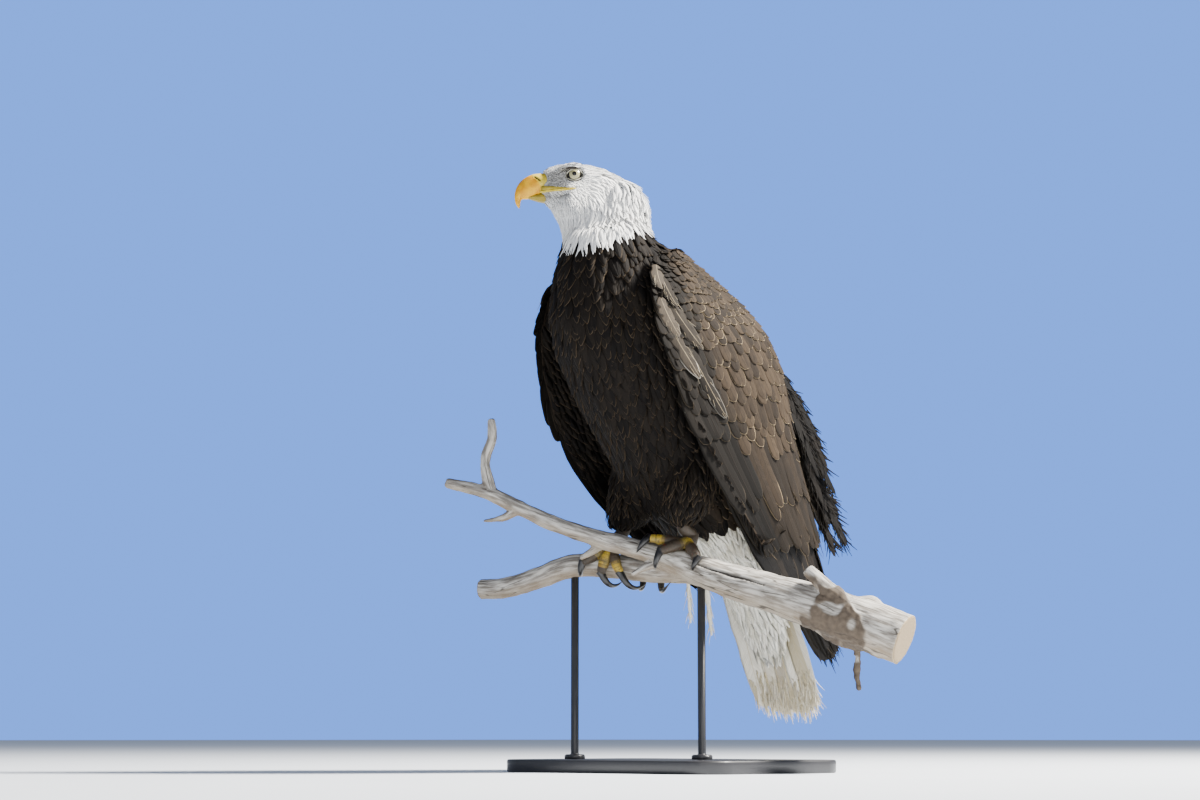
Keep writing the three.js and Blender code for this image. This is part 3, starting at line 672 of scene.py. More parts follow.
toe_skin = material("toe_skin", 0.5, Subsurface_Weight=0.08, Specular_IOR_Level=0.4)
wires = Wiring(toe_skin)
crease = wires.read("crease", "Fac")
band = wires.read("band", "Fac")
place = wires.place()
beads = wires.node("TexVoronoi", Vector=place, Scale=520.0)
beads.feature = "DISTANCE_TO_EDGE"
edges = wires.fade(beads.outputs["Distance"], 0.0, 0.14)
dust = wires.grain(place, 90.0, 4.0)
yellow = wires.mix(wires.fade(dust, 0.35, 0.65), srgb(168, 138, 26), srgb(186, 160, 60))
# Dust, and painted shade, dull the plates where the yellow doesn't show.
dust_and_shade_colour = wires.mix(dust, srgb(34, 27, 20), srgb(68, 55, 38))
clean = wires.times(wires.fade(band, 0.45, 0.75), wires.fade(dust, 0.4, 0.62, 1.0, 0.25))
colour = wires.mix(clean, dust_and_shade_colour, yellow)
# Painted shade darkens the creases between the plates.
colour = wires.mix(wires.times(crease, 0.8), colour, srgb(52, 44, 34))
colour = wires.mix(wires.fade(edges, 0.0, 1.0, 0.45, 0.0), colour, srgb(60, 50, 38))
wires.colour(colour)
wires.bump(edges, 0.35, 0.0006)

talon_horn = material("talon_horn", 0.34, Coat_Weight=0.12, Coat_Roughness=0.25)
wires = Wiring(talon_horn)
talon_place = wires.read("talon")
worn_horn = wires.fade(wires.grain(talon_place, 6.0), 0.4, 0.8)
wires.colour(wires.mix(worn_horn, srgb(10, 9, 9), srgb(40, 35, 31)))
wires.bump(wires.grain(talon_place, 24.0), 0.15, 0.0005)

for side, foot in FEET.items():
    toes, creases, bands = [], [], []
    talons, talon_marks = [], []
    wood_radius = foot["radius"]
    run = unit(np.array(foot["along"], float))
    for name, hand, radius, wrap, drift, off, hook, loop, sweep in TOES[side]:
        reach = wood_radius + radius + TOE_CLEAR
        knots = np.linspace(0, 1, len(TOE_JOINTS))
        degrees = TOE_START + (wrap - TOE_START) * knots
        distance = reach + TOE_ARCH * (1 - knots) ** 2 + off * knots
        centres = eased(round_wood(foot, hand, degrees, distance, drift * knots**1.2), TOE_RINGS)
        # The toe's end closes round the root of its talon.
        closing = np.sqrt(1 - np.linspace(0, 1, TOE_RINGS) ** 14 * 0.75)
        radii = radius * eased(TOE_JOINTS, TOE_RINGS)[:, 0] * closing
        in_wood = np.multiply.outer((centres - foot["middle"]) @ run, run)
        away = centres - (np.array(foot["middle"], float) + in_wood)
        rings, crease, band = scaly_tube(centres, radii, away)
        toes.append(wrap_rings(list(PERCH + rings * MM)))
        creases += [crease.ravel(), np.zeros(2)]
        bands += [band.ravel(), np.zeros(2)]

        leaves, bites = reach + off, wood_radius + 1 + off
        knots = np.linspace(-TALON_ROOT, 1, 8)
        distance = leaves + (bites - leaves) * knots + loop * np.sin(math.pi * np.clip(knots, 0, 1))
        hooked = round_wood(foot, hand, wrap + hook * knots, distance, drift + sweep * knots)
        line = eased(hooked, TALON_RINGS)
        g = np.linspace(0, 1, TALON_RINGS)
        rings = tube_rings(line, TALON_RADIUS * (1 - g**1.6) + TALON_POINT, TALON_SIDES)
        talons.append(wrap_rings(list(PERCH + rings * MM)))
        turn = np.tile(np.linspace(0, 1, TALON_SIDES), TALON_RINGS)
        talon_marks += [np.stack([np.repeat(g, TALON_SIDES), turn * 0.2, 0 * turn], 1), np.zeros((2, 3))]

    # The shank comes down out of the thigh, behind the wood, and ends in the ball that the toes leave.
    shin = np.array(foot["shin"], float)
    knots = np.array([
        shin + [0, 0, SHANK_TOP], shin, round_wood(foot, -1, 6, wood_radius + HEEL, 0),
        round_wood(foot, 1, 0, wood_radius + BALL_RADIUS, 0), round_wood(foot, 1, 4, wood_radius + 4, 0)])
    radii = [SHANK_RADIUS, SHANK_RADIUS, SHANK_RADIUS, BALL_RADIUS, BALL_RADIUS * 0.8]
    radii = eased(radii, SHANK_RINGS)[:, 0]
    forward = np.tile([0.5, -1.0, 0.0], (SHANK_RINGS, 1))
    rings, crease, band = scaly_tube(eased(knots, SHANK_RINGS), radii, forward)
    toes.append(wrap_rings(list(PERCH + rings * MM)))
    # The shank is painted darker all over, with at least half of the creases' painted shade.
    creases += [np.maximum(crease, 0.5).ravel(), np.zeros(2)]
    bands += [0.5 * band.ravel(), np.zeros(2)]

    skin = shape("foot_" + side, *gathered(toes))
    store(skin.data, "crease", np.concatenate(creases))
    store(skin.data, "band", np.concatenate(bands))
    skin.data.materials.append(toe_skin)
    names = [toe[0] for toe in TOES[side]]
    settle(skin, "scaled_skin", "shank_" + side, *[f"toe_{name}_{side}" for name in names])
    claws = shape("talons_" + side, *gathered(talons))
    store(claws.data, "talon", np.concatenate(talon_marks))
    claws.data.materials.append(talon_horn)
    settle(claws, "claw_horn", *[f"claw_{name}_{side}" for name in names])

# ---- Skin ----
# One skin over the head, neck, trunk, thighs and the arms of the wings. It is the thin bare hide that the
# feathers are set in, it lies under them by their depth, and it carries their colours.

FLESH = [
    "head", "neck", "trunk", "tail_coverts", "thigh_left", "thigh_right",
    "wing_left_coverts", "wing_right_coverts",
]
SKIN_VOXEL = 2.6 * MM
HEAD_TURN = math.radians(45)  # to the bird's right
ahead = np.array([-math.sin(HEAD_TURN), -math.cos(HEAD_TURN), 0])
head_up = np.array([0, 0, 1.0])
head_left = np.cross(head_up, ahead)
BETWEEN_EYES = np.array([-35, -107, 473])  # millimetres from the perch


def on_head(fore, up, left=0.0):
    """A place by its millimetres ahead of the eyes, above them and to the head's left."""
    shift = np.multiply.outer(fore, ahead) + np.multiply.outer(up, head_up)
    return PERCH + (BETWEEN_EYES + (shift + np.multiply.outer(left, head_left))) * MM


def from_head(points):
    """The same three numbers of points."""
    shift = from_perch(points) - BETWEEN_EYES
    return shift @ ahead, shift @ head_up, shift @ head_left


def body_of(node):
    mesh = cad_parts[node].data
    return read_points(mesh, "co"), [tuple(face.vertices) for face in mesh.polygons]


def cad_surface(node):
    points, faces = body_of(node)
    return BVHTree.FromPolygons([Vector(p) for p in points], faces)


COLLAR = np.array([-6, -78, 408])  # the white of the neck ends here, in millimetres from the perch
COLLAR_WAY = unit(np.array([0.1, -0.33, 1]))


def above_collar(points):
    """How far points are above the collar, in millimetres."""
    return (from_perch(points) - COLLAR) @ COLLAR_WAY


def on_back(places):
    """Whether places, in millimetres from the perch, are on the back or on top of the shoulders."""
    lower = (places[:, 1] > 20) & (places[:, 2] > 60)
    return lower | (places[:, 1] > -45) & (places[:, 2] > 330)


FACE_DEPTH = 1.0  # of the coat, in millimetres
BODY_DEPTH = 4.5
THIGH_HEM = 54  # the thighs' down ends about here, in millimetres over the perch
HEM_LIFT = 0.5  # the share of the way that what is lower moves up to there
skin = melted("bird_skin", [body_of(node) for node in FLESH], SKIN_VOXEL)
skin_points = read_points(skin.data, "co")
# Each point belongs to the CAD piece that it is nearest to.
surfaces = [cad_surface(node) for node in FLESH]
distances = np.array([[s.find_nearest(Vector(p))[3] for s in surfaces] for p in skin_points])
owner = np.array(FLESH)[distances.argmin(1)]
fore, up, _ = from_head(skin_points)
is_head = np.isin(owner, ["head", "neck"])
# The coat is thin on the face and deep on the neck and body.
deeper = (BODY_DEPTH - FACE_DEPTH) * step_between(-fore - 0.5 * up, -20, 70)
coat_depth = np.where(is_head, FACE_DEPTH + deeper, BODY_DEPTH)
calm = np.where(is_head, 0.35, 0.6)
skin_points = relaxed(skin.data, skin_points, 9, calm)
# The neck flows into the breast and the shoulders.
near_collar = 0.8 * np.exp(-(((above_collar(skin_points) + 8) / 24) ** 2))
near_collar = near_collar * np.isin(owner, ["head", "neck", "trunk"])
skin_points = relaxed(skin.data, skin_points, 26, near_collar)
put_points(skin.data, skin_points)
skin_points -= read_points(skin.data, "normal") * (coat_depth * MM)[:, None]
skin_points = relaxed(skin.data, skin_points, 2, 0.5)
# The thighs' hems are drawn up from the shanks.
on_hem = np.char.startswith(owner, "thigh")
below_hem = np.clip(THIGH_HEM - from_perch(skin_points)[:, 2], 0, None)
skin_points[:, 2] += on_hem * HEM_LIFT * below_hem * MM
# The eyes lie in sockets, under a ridge of brow that overhangs them.
EYE = {"fore": -0.2, "up": -2.6, "left": 17.4}
EYE_RADIUS = 9.5
fore, up, left = from_head(skin_points)
socket = 1 - step_between(np.hypot((fore - EYE["fore"]) / 11.5, (up - EYE["up"] + 0.5) / 8.5), 0.7, 1.3)
ridge = np.interp(fore, [-14, 0, 14, 24], [5.2, 7.0, 6.8, 4.5])
brow = np.exp(-(((up - ridge) / 2.6) ** 2)) * step_between(fore, -20, -9) * step_between(-fore, -27, -15)
out_or_in = np.where(is_head & (np.abs(left) > 9), 5.6 * brow - 5.0 * socket, 0) * np.sign(left)
skin_points += np.outer(out_or_in * MM, head_left)
put_points(skin.data, skin_points)
skin_normals = read_points(skin.data, "normal")


def lores_and_brow_shade(fore, up):
    """How grey the thinly feathered patch before the eye is, the strip under the mouth's corner, the stripe
    behind the eye, and the painted shadow under the brow, which is partly its dark skin.
    """
    before_eye = step_between(fore, 5, 17) * step_between(-up, -6, 0) * step_between(up, -22, -13)
    # Along under the brow the grey is painted shadow as well as dark skin.
    brow_shadow_and_skin = np.exp(-(((up - np.interp(fore, [-8, 4, 24], [1.5, 4.5, 4.0])) / 2.4) ** 2))
    brow_shadow_and_skin = brow_shadow_and_skin * step_between(fore, -8, 2) * step_between(-fore, -26, -16)
    under_mouth = step_between(fore, 2, 12) * np.exp(-(((up + 27) / 3.2) ** 2))
    behind_eye = 0.8 * step_between(-fore, 10, 14) * step_between(fore, -42, -30)
    behind_eye = behind_eye * np.exp(-(((up - np.interp(fore, [-40, -10], [-4.8, -0.6])) / 0.9) ** 2))
    return np.clip(0.7 * before_eye + 0.9 * brow_shadow_and_skin + 0.75 * under_mouth + behind_eye, 0, 1)


fore, up, _ = from_head(skin_points)
white = is_head & (above_collar(skin_points) > 0) | (owner == "tail_coverts")
winged = np.where(np.char.startswith(owner, "wing"), 1.0, on_back(from_perch(skin_points)) * ~white)
chin = 0.8 * step_between(fore, 26, 31) * step_between(-up, 14, 19)
# The skin there takes the same grey, the painted shadow under the brow included.
lores = np.maximum(lores_and_brow_shade(fore, up), chin) * is_head
store(skin.data, "coat", np.stack([white.astype(float), winged, lores], 1))
hide = material("feather_roots", 0.9, Specular_IOR_Level=0.05)
wires = Wiring(hide)
is_white, is_wing, is_lore = wires.read_three("coat")
place = wires.place()
fluff = wires.grain(place, 260.0)
dark_down = wires.mix(fluff, srgb(16, 13, 11), srgb(26, 22, 18))
wing_down = wires.mix(fluff, srgb(30, 25, 21), srgb(50, 43, 35))
white_down = wires.mix(fluff, srgb(196, 198, 200), srgb(232, 232, 228))
grey_down = wires.mix(fluff, srgb(120, 116, 108), srgb(160, 156, 146))
colour = wires.mix(is_wing, dark_down, wing_down)
colour = wires.mix(is_white, colour, white_down)
wires.colour(wires.mix(is_lore, colour, grey_down))
wires.bump(fluff, 0.4, 0.001)
skin.data.materials.append(hide)
settle(skin, "plumage_dark", *FLESH)

# ---- Feathers of the head and body ----
# Each is a thin curved vane, set in the skin by its root and lying back over the next ones: fine and short
# on the face, long and pointed on the nape, broad and round on the breast, loose and fluffy on the thighs.

skin_tree = BVHTree.FromPolygons(
    [Vector(p) for p in skin_points], [tuple(face.vertices) for face in skin.data.polygons])
face_corners = np.array([tuple(face.vertices)[:4] for face in skin.data.polygons])
face_middles = skin_points[face_corners].mean(1)
face_normals = unit(skin_normals[face_corners].mean(1))
face_areas = np.array([face.area for face in skin.data.polygons])
face_owner = owner[face_corners[:, 0]]


def scatter(chosen, spacing, dice):
    """Even but irregular places on the chosen faces of the skin, at least spacing (metres) apart."""
    chosen = np.flatnonzero(chosen)
    spacing = np.broadcast_to(spacing, len(face_areas))
    chances = face_areas[chosen] / spacing[chosen] ** 2
    count = int(chances.sum() * 5)
    picked = dice.choice(chosen, count, p=chances / chances.sum())
    corners = skin_points[face_corners[picked]]
    a, b = dice.random((2, count, 1))
    spots = ((corners[:, 0] * (1 - a) + corners[:, 1] * a) * (1 - b)
             + (corners[:, 3] * (1 - a) + corners[:, 2] * a) * b)
    cell = spacing[picked].max()
    cells = np.floor(spots / cell).astype(int)
    taken, kept = {}, []
    for i in range(count):
        x, y, z = cells[i]
        reach = spacing[picked[i]] ** 2
        near = (q for dx in (-1, 0, 1) for dy in (-1, 0, 1) for dz in (-1, 0, 1)
                for q in taken.get((x + dx, y + dy, z + dz), ()))
        px, py, pz = spots[i]
        if all((px - q[0]) ** 2 + (py - q[1]) ** 2 + (pz - q[2]) ** 2 > reach for q in near):
            taken.setdefault((x, y, z), []).append((px, py, pz))
            kept.append(i)
    return spots[kept], picked[kept]


def on_skin(points):
    """The nearest places on the skin and the ways out of it."""
    spots, faces = [], []
    for p in points:
        spot, _, face, _ = skin_tree.find_nearest(Vector(p))
        spots.append(spot)
        faces.append(face)
    return np.array(spots), face_normals[faces]


def lie(points, outs):
    """Which way the coat lies: back over the head, down the neck and breast, and out along the tail."""
    rel = from_perch(points)
    fore, up, _ = from_head(points)
    fall = 0.12 + 0.9 * np.clip((-up - 4) / 60, 0, 1) + 0.7 * np.clip((-fore - 26) / 55, 0, 1)
    fall = np.clip(fall, 0, 1)[:, None]
    head_way = unit(-ahead * (1 - fall) + np.array([0, 0, -1.0]) * fall)
    # The trunk's axis leans from the upright neck to the sloping tail.
    slope = np.radians(np.interp(rel[:, 2], [-120, -20, 60, 150, 260, 400], [64, 50, 50, 66, 80, 86]))
    trunk_way = np.stack([0.12 * np.sign(rel[:, 0]) * step_between(rel[:, 2], 200, 380),
                          np.cos(slope), -np.sin(slope)], 1)
    thigh_way = np.array([0, -0.15, -1.0])
    on_thigh = (step_between(np.abs(rel[:, 0]), 18, 34) * step_between(-rel[:, 1], -44, -24)
                * step_between(-rel[:, 2], -120, -90))[:, None]
    body_way = unit(trunk_way * (1 - on_thigh) + thigh_way * on_thigh)
    high = step_between(rel[:, 2], 375, 405)[:, None]
    way = body_way * (1 - high) + head_way * high
    return unit(way - outs * (way * outs).sum(1)[:, None])


def follow(roots, lengths, count, wander):
    """Lines of count places that run from the roots along the lie of the coat."""
    spots, outs = on_skin(roots)
    lines, ways_out = [spots], [outs]
    for _ in range(count - 1):
        way = lie(spots, outs)
        way = unit(way + np.cross(outs, way) * wander[:, None])
        spots, outs = on_skin(spots + way * (lengths / (count - 1))[:, None])
        lines.append(spots)
        ways_out.append(outs)
    return np.stack(lines, 1), np.stack(ways_out, 1)


PATCH_SIZE = 0.0028  # of each feather on the unwrap, as a share of its side


def vanes(name, lines, outs, widths, outline, across, thick, camber, marks, patch, tip_depth=1.0):
    """Closed thin feathers in one mesh, a round of points at each place of their lines. outline gives the
    width's share at each place; across the places over the width that have points; marks the tint stored
    with each feather; patch its place on the unwrap; and tip_depth how far its tip reaches on, as a share of
    half its last width."""
    count, stations = lines.shape[:2]
    runs = unit(np.gradient(lines, axis=1))
    outs = unit(outs - runs * (outs * runs).sum(2)[..., None])
    sides = np.cross(runs, outs)
    half = widths[:, None] / 2 * np.asarray(outline)
    top = np.asarray(across, float)
    under = top[-2:0:-2]
    places = np.concatenate([top, under])
    lift = np.concatenate([1 - top**2, -(1 - under**2)]) * thick / 2
    drop = camber * places**2
    ring = (lines[:, :, None] + sides[:, :, None] * (half[..., None] * places)[..., None]
            + outs[:, :, None] * (lift - half[..., None] * drop)[..., None])
    tips = lines[:, -1] + runs[:, -1] * (half[:, -1] * tip_depth)[:, None]
    points = np.concatenate([ring.reshape(count, -1, 3), lines[:, :1], tips[:, None]], 1)
    per = points.shape[1]
    size = len(places)
    k = np.arange(size)
    after = (k + 1) % size
    rows = np.arange(stations - 1)[:, None] * size
    quads = np.stack([rows + k, rows + after, rows + size + after, rows + size + k], 2).reshape(-1, 4)
    last = (stations - 1) * size
    start_fan = np.stack([np.full(size, per - 2), after, k], 1)
    end_fan = np.stack([np.full(size, per - 1), last + k, last + after], 1)
    corners = np.concatenate([quads.ravel(), start_fan.ravel(), end_fan.ravel()])
    sizes = np.concatenate([np.full(len(quads), 4), np.full(2 * size, 3)])
    all_corners = (np.arange(count)[:, None] * per + corners).ravel()
    starts = np.concatenate([[0], np.cumsum(np.tile(sizes, count))[:-1]])
    mesh = bpy.data.meshes.new(name)
    mesh.vertices.add(count * per)
    mesh.vertices.foreach_set("co", points.astype(np.float32).ravel())
    mesh.loops.add(len(all_corners))
    mesh.loops.foreach_set("vertex_index", all_corners.astype(np.int32))
    mesh.polygons.add(len(starts))
    mesh.polygons.foreach_set("loop_start", starts.astype(np.int32))
    mesh.update(calc_edges=True)
    mesh.validate()
    mesh.shade_smooth()
    # Across from -1 to 1, along from 0 to 1, and the distance in from the rim in millimetres.
    walked = np.cumsum(np.linalg.norm(np.diff(lines, axis=1, prepend=lines[:, :1]), axis=2), axis=1)
    lengths = walked[:, -1]
    f = walked / lengths[:, None]
    to_tip = (lengths[:, None] - walked + (half[:, -1] * tip_depth)[:, None])[..., None]
    rim = np.minimum(half[..., None] * (1 - np.abs(places)), to_tip) / MM
    vane = np.stack([np.broadcast_to(places, rim.shape),
                     np.broadcast_to(f[..., None], rim.shape), rim], 3).reshape(count, -1, 3)
    ends = np.zeros((count, 2, 3))
    ends[:, 1, 1] = 1
    vane = np.concatenate([vane, ends], 1)
    store(mesh, "vane", vane.reshape(-1, 3))
    store(mesh, "tint", np.repeat(marks, per, axis=0))
    size_mm = np.stack([widths, lengths, 0 * widths], 1) / MM
    store(mesh, "size", np.repeat(size_mm, per, axis=0))
    uv = patch[:, None] + PATCH_SIZE * np.stack([vane[..., 0] / 2, vane[..., 1] - 0.5], 2)
    layer = mesh.uv_layers.new(name="OFBake")
    layer.data.foreach_set("uv", uv.reshape(-1, 2)[all_corners].astype(np.float32).ravel())
    made = bpy.data.objects.new(name, mesh)
    bpy.context.scene.collection.objects.link(made)
    return made


def unwrap(points):
    """Places on an unwrap of the skin: the turn round the body's upright middle, and the height."""
    rel = from_perch(points)
    lean = np.interp(rel[:, 2], [-120, 60, 260, 400, 500], [218, 92, -26, -88, -105])
    turn = np.arctan2(rel[:, 0], -(rel[:, 1] - lean)) / (2 * math.pi) + 0.5
    return np.stack([0.01 + 0.98 * turn, 0.01 + 0.98 * (rel[:, 2] + 180) / 690], 1)


# The places over a feather's width that have points, from edge to edge
FINE = [-1, 0, 1]
BROAD = [-1, -0.5, 0, 0.5, 1]
# Each kind of outline, as shares of the width from root to tip
ROUND = [0.35, 0.75, 1.0, 0.97, 0.72, 0.34]
POINTED = [0.4, 0.85, 1.0, 0.8, 0.5, 0.2]
FINE_POINTED = [0.5, 1.0, 0.75, 0.25]
HACKLE = [0.5, 0.95, 1.0, 0.85, 0.6, 0.36, 0.12]
BARB_SLANT = 1.1  # how far back the barbs run for each step out from the shaft


def feather_stuff(name, dark, light, rim, rim_width, shade, roughness=0.75, specular=0.1,
                  rim_strength=1.0, shaft=None):
    """Barbs that slant off the shaft, a paler rim, one feather a little lighter than the next, and some
    darker
    by the third mark: for some feathers their own colour, for others painted shade."""
    made = material(name, roughness, Specular_IOR_Level=specular)
    wires = Wiring(made)
    over, along, edge = wires.read_three("vane")
    luck, worn, shaded = wires.read_three("tint")
    wide, long, _ = wires.read_three("size")
    from_shaft = wires.math("ABSOLUTE", wires.times(over, wires.times(wide, 0.5)))
    run = wires.minus(wires.times(along, long), wires.times(from_shaft, BARB_SLANT))
    barb_place = wires.vector(wires.times(run, 1.6), wires.times(over, 1.2), wires.times(luck, 90.0))
    barbs = wires.grain(barb_place, 1.0, 3.0)
    patch_place = wires.vector(wires.times(run, 0.12), over, wires.times(luck, 50.0))
    patches = wires.grain(patch_place, 1.0, 2.0)
    share = wires.plus(wires.times(luck, 0.55), wires.times(patches, 0.45))
    colour = wires.mix(wires.fade(share, 0.2, 0.8), dark, light)
    between_barbs = tuple(v * 0.45 for v in dark[:3]) + (1.0,)
    colour = wires.mix(wires.fade(barbs, 0.3, 0.7, 0.45, 0.0), colour, between_barbs)
    colour = wires.mix(shaded, colour, shade)
    at_rim = wires.fade(edge, 0.25 * rim_width, rim_width, rim_strength, 0.0)
    rim_share = wires.times(at_rim, wires.fade(along, 0.3, 0.7))
    rim_share = wires.times(rim_share, wires.fade(worn, 0, 1, 0.1, 1.0))
    rim_share = wires.times(rim_share, wires.fade(shaded, 0, 1, 1.0, 0.15))
    colour = wires.mix(rim_share, colour, rim)
    if shaft:
        colour = wires.mix(wires.fade(from_shaft, 0.25, 0.6, 0.8, 0.0), colour, shaft)
    wires.colour(colour)
    wires.bump(wires.plus(barbs, wires.fade(from_shaft, 0.3, 0.9, 0.8, 0.0)), 0.5, 0.0006)
    return made


white_feathers = feather_stuff(
    "white_feathers", srgb(230, 230, 228), srgb(251, 250, 247), srgb(255, 255, 252), 0.8, srgb(106, 101, 92))
breast_feathers = feather_stuff(
    "breast_feathers", srgb(12, 9, 8), srgb(28, 23, 18), srgb(94, 79, 60), 1.2, srgb(10, 8, 7),
    rim_strength=0.55)
mantle_feathers = feather_stuff(
    "mantle_feathers", srgb(22, 18, 14), srgb(44, 36, 28), srgb(120, 104, 80), 1.3, srgb(10, 8, 7))
vent_feathers = feather_stuff(
    "vent_feathers", srgb(212, 206, 188), srgb(246, 243, 232), srgb(252, 250, 242), 1.0, srgb(150, 134, 104))


def coat(name, stuff, slot, chosen, dice, outline, across, spacing, length, width, depth, thick=0.35,
         camber=0.3, wander=0.12, ruffle=0.25, shade=None, free=None):
    """A patch of the coat over the chosen faces. Sizes are millimetres: numbers, or one for each face."""
    spots, faces = scatter(chosen, np.asarray(spacing, float) * MM, dice)
    count = len(spots)

    def at_each(value, spread):
        return np.broadcast_to(value, len(face_areas))[faces] * (1 + spread * (dice.random(count) - 0.5)) * MM

    lengths = at_each(length, 0.3)
    widths = at_each(width, 0.25)
    lines, outs = follow(spots, lengths, len(outline), wander * dice.normal(size=count))
    f = np.linspace(0, 1, len(outline))
    if free is not None:
        # These leave the skin and run on straight.
        loose = free[faces]
        start = unit(lines[loose, 1] - lines[loose, 0])
        lines[loose] = lines[loose, :1] + start[:, None] * (lengths[loose, None] * f)[..., None]
        outs[loose] = outs[loose, :1]
    rise = at_each(depth, 0.2)[:, None] * (0.12 + 0.88 * f**0.8)
    rise = rise + ruffle * MM * dice.normal(size=(count, 1)) * f**2
    lines = lines + outs * rise[..., None]
    marks = dice.random((count, 3))
    marks[:, 2] = 0 if shade is None else shade(spots)
    made = vanes(name, lines, outs, widths, outline, across, thick * MM, camber, marks, unwrap(spots))
    made.data.materials.append(stuff)
    settle(made, slot)


def face_shade(points):
    fore, up, _ = from_head(points)
    return lores_and_brow_shade(fore, up)


dice = np.random.default_rng(7)
fore, up, left = from_head(face_middles)
on_neck = np.isin(face_owner, ["head", "neck"])
on_face = on_neck & (above_collar(face_middles) > 0)
# The bill's base, the mouth's corner and the eye stay clear of feathers.
eye_reach = np.hypot((fore - EYE["fore"]) / 11.2, (up - EYE["up"] + 0.4) / 7.6)
clear = fore < np.interp(up, [-40, -25, -20, -12, 0], [42, 37, 30, 34, 38])
clear &= (eye_reach > 1) | (np.abs(left) < 12)
front_zone = on_face & clear & (fore > -16) & (up > -52)
bristly = front_zone & (lores_and_brow_shade(fore, up) > 0.35)
crown_zone = on_face & clear & ~front_zone & (fore + 0.8 * up > -62)
nape_zone = on_face & clear & ~front_zone & ~crown_zone
coat("coat_lores", white_feathers, "plumage_white", bristly, dice, FINE_POINTED, FINE, spacing=1.45,
     length=5.0, width=1.3, depth=1.0, thick=0.2, camber=0.1, ruffle=0.2, shade=face_shade)
coat("coat_face", white_feathers, "plumage_white", front_zone & ~bristly, dice, FINE_POINTED, FINE,
     spacing=1.8, length=8.5, width=2.8, depth=1.3, thick=0.2, camber=0.08, ruffle=0.1, shade=face_shade)
coat("coat_crown", white_feathers, "plumage_white", crown_zone, dice, POINTED, FINE, spacing=2.4, length=17,
     width=4.6, depth=2.2, thick=0.2, camber=0.1, ruffle=0.2, shade=face_shade)
# The nape's long hackles stand out in a swell behind the head.
swell = step_between(-fore, 30, 52) * step_between(up, -66, -40)
coat("coat_nape", white_feathers, "plumage_white", nape_zone, dice, HACKLE, BROAD, spacing=3.4,
     length=np.interp(fore, [-60, -20], [24, 31]), width=7.0, depth=4.4 + 3.5 * swell, thick=0.25,
     camber=0.14, wander=0.2, ruffle=0.7)

rel = from_perch(face_middles)
on_trunk = (face_owner == "trunk") | on_neck & ~on_face & (above_collar(face_middles) < 0)
behind = on_trunk & on_back(rel)
breast = on_trunk & ~behind & (rel[:, 2] > 190)
belly = on_trunk & ~behind & (rel[:, 2] <= 190)
thighs = np.char.startswith(face_owner, "thigh")
vent = face_owner == "tail_coverts"
coat("coat_breast", breast_feathers, "plumage_dark", breast, dice, ROUND, BROAD, spacing=6.6, length=30,
     width=14, depth=5.0, camber=0.25, wander=0.16, ruffle=0.5)
coat("coat_belly", breast_feathers, "plumage_dark", belly, dice, ROUND, BROAD, spacing=6.6, length=31,
     width=13, depth=5.2, camber=0.25, wander=0.2, ruffle=0.8)
coat("coat_mantle", mantle_feathers, "plumage_dark", behind, dice, ROUND, BROAD, spacing=8, length=36,
     width=18, depth=5.2, camber=0.2, wander=0.12, ruffle=0.4)
coat("coat_thighs", breast_feathers, "plumage_dark", thighs, dice, POINTED, FINE, spacing=5.0,
     length=np.interp(rel[:, 2], [25, 60, 120], [10, 15, 28]), width=8, depth=4.6, camber=0.3, wander=0.25,
     ruffle=0.9)
# Below the perch the vent's feathers leave the skin.
coat("coat_vent", vent_feathers, "plumage_white", vent, dice, POINTED, FINE, spacing=5.5,
     length=np.interp(rel[:, 2], [-70, -20], [26, 38]), width=10, depth=4.0, camber=0.14, wander=0.12,
     ruffle=0.6, free=rel[:, 2] < 0)

# ---- Wings ----
# Folded wings: rows of scalloped coverts with buff edges over the arm, then the long dark secondaries and
# primaries in layers like slates, and the loose tertials, which the wind lifts off the back.

# x, y, z in millimetres from the perch: of the leading edge, of the corner between side and back, and of
# the edge beside the spine, from the wrist to the wing's tip
WING = [
    [82, -82, 362, 58, -12, 382, 40, 2, 386], [99, -101, 325, 66, 28, 356, 36, 48, 362],
    [110, -103, 278, 78, 77, 322, 31, 98, 330], [118, -89, 225, 87, 119, 283, 27, 144, 290],
    [121, -59, 160, 86, 153, 230, 22, 182, 238], [117, -13, 102, 80, 175, 172, 17, 210, 180],
    [104, 54, 40, 75, 202, 110, 13, 238, 118], [84, 123, -14, 68, 234, 50, 11, 264, 56],
    [61, 193, -64, 60, 268, -10, 14, 290, -6], [59, 230, -104, 54, 300, -66, 22, 318, -62],
    [56, 259, -134, 50, 323, -110, 32, 334, -108],
]
WING_BULGE = 19  # how far the side stands out between the leading edge and the corner
WING_LENGTH = 600  # millimetres from wrist to tip
FLIGHT_WIDTH = 34.0  # of a long feather


def wing_face(along, across):
    """Millimetres from the perch to the outer face, along the wing (0 to 1) and over it (0 leading edge)."""
    row = row_at(WING, np.clip(along, 0, 1)).reshape(np.shape(along) + (3, 3))
    side = (row[..., 0, :] + row[..., 1, :]) / 2
    side[..., 0] += WING_BULGE * (1 - 0.6 * np.clip(along, 0, 1))
    line = np.stack([row[..., 0, :], side, row[..., 1, :], row[..., 2, :]], -2)
    reach = np.asarray(across, float) * 3
    k = np.clip(np.floor(reach).astype(int), 0, 2)

    def spot(i):
        return np.take_along_axis(line, np.clip(i, 0, 3)[..., None, None], -2)[..., 0, :]

    return curve_through(spot(k - 1), spot(k), spot(k + 1), spot(k + 2), (reach - k)[..., None])


def on_wing(along, across, depth=0.0):
    """A point under the wing's outer face by a depth, and the way out there."""
    step = 0.02
    run = wing_face(along + step, across) - wing_face(along - step, across)
    over = wing_face(along, across + step) - wing_face(along, across - step)
    out = unit(np.cross(run, over))
    return wing_face(along, across) - out * np.asarray(depth)[..., None], out


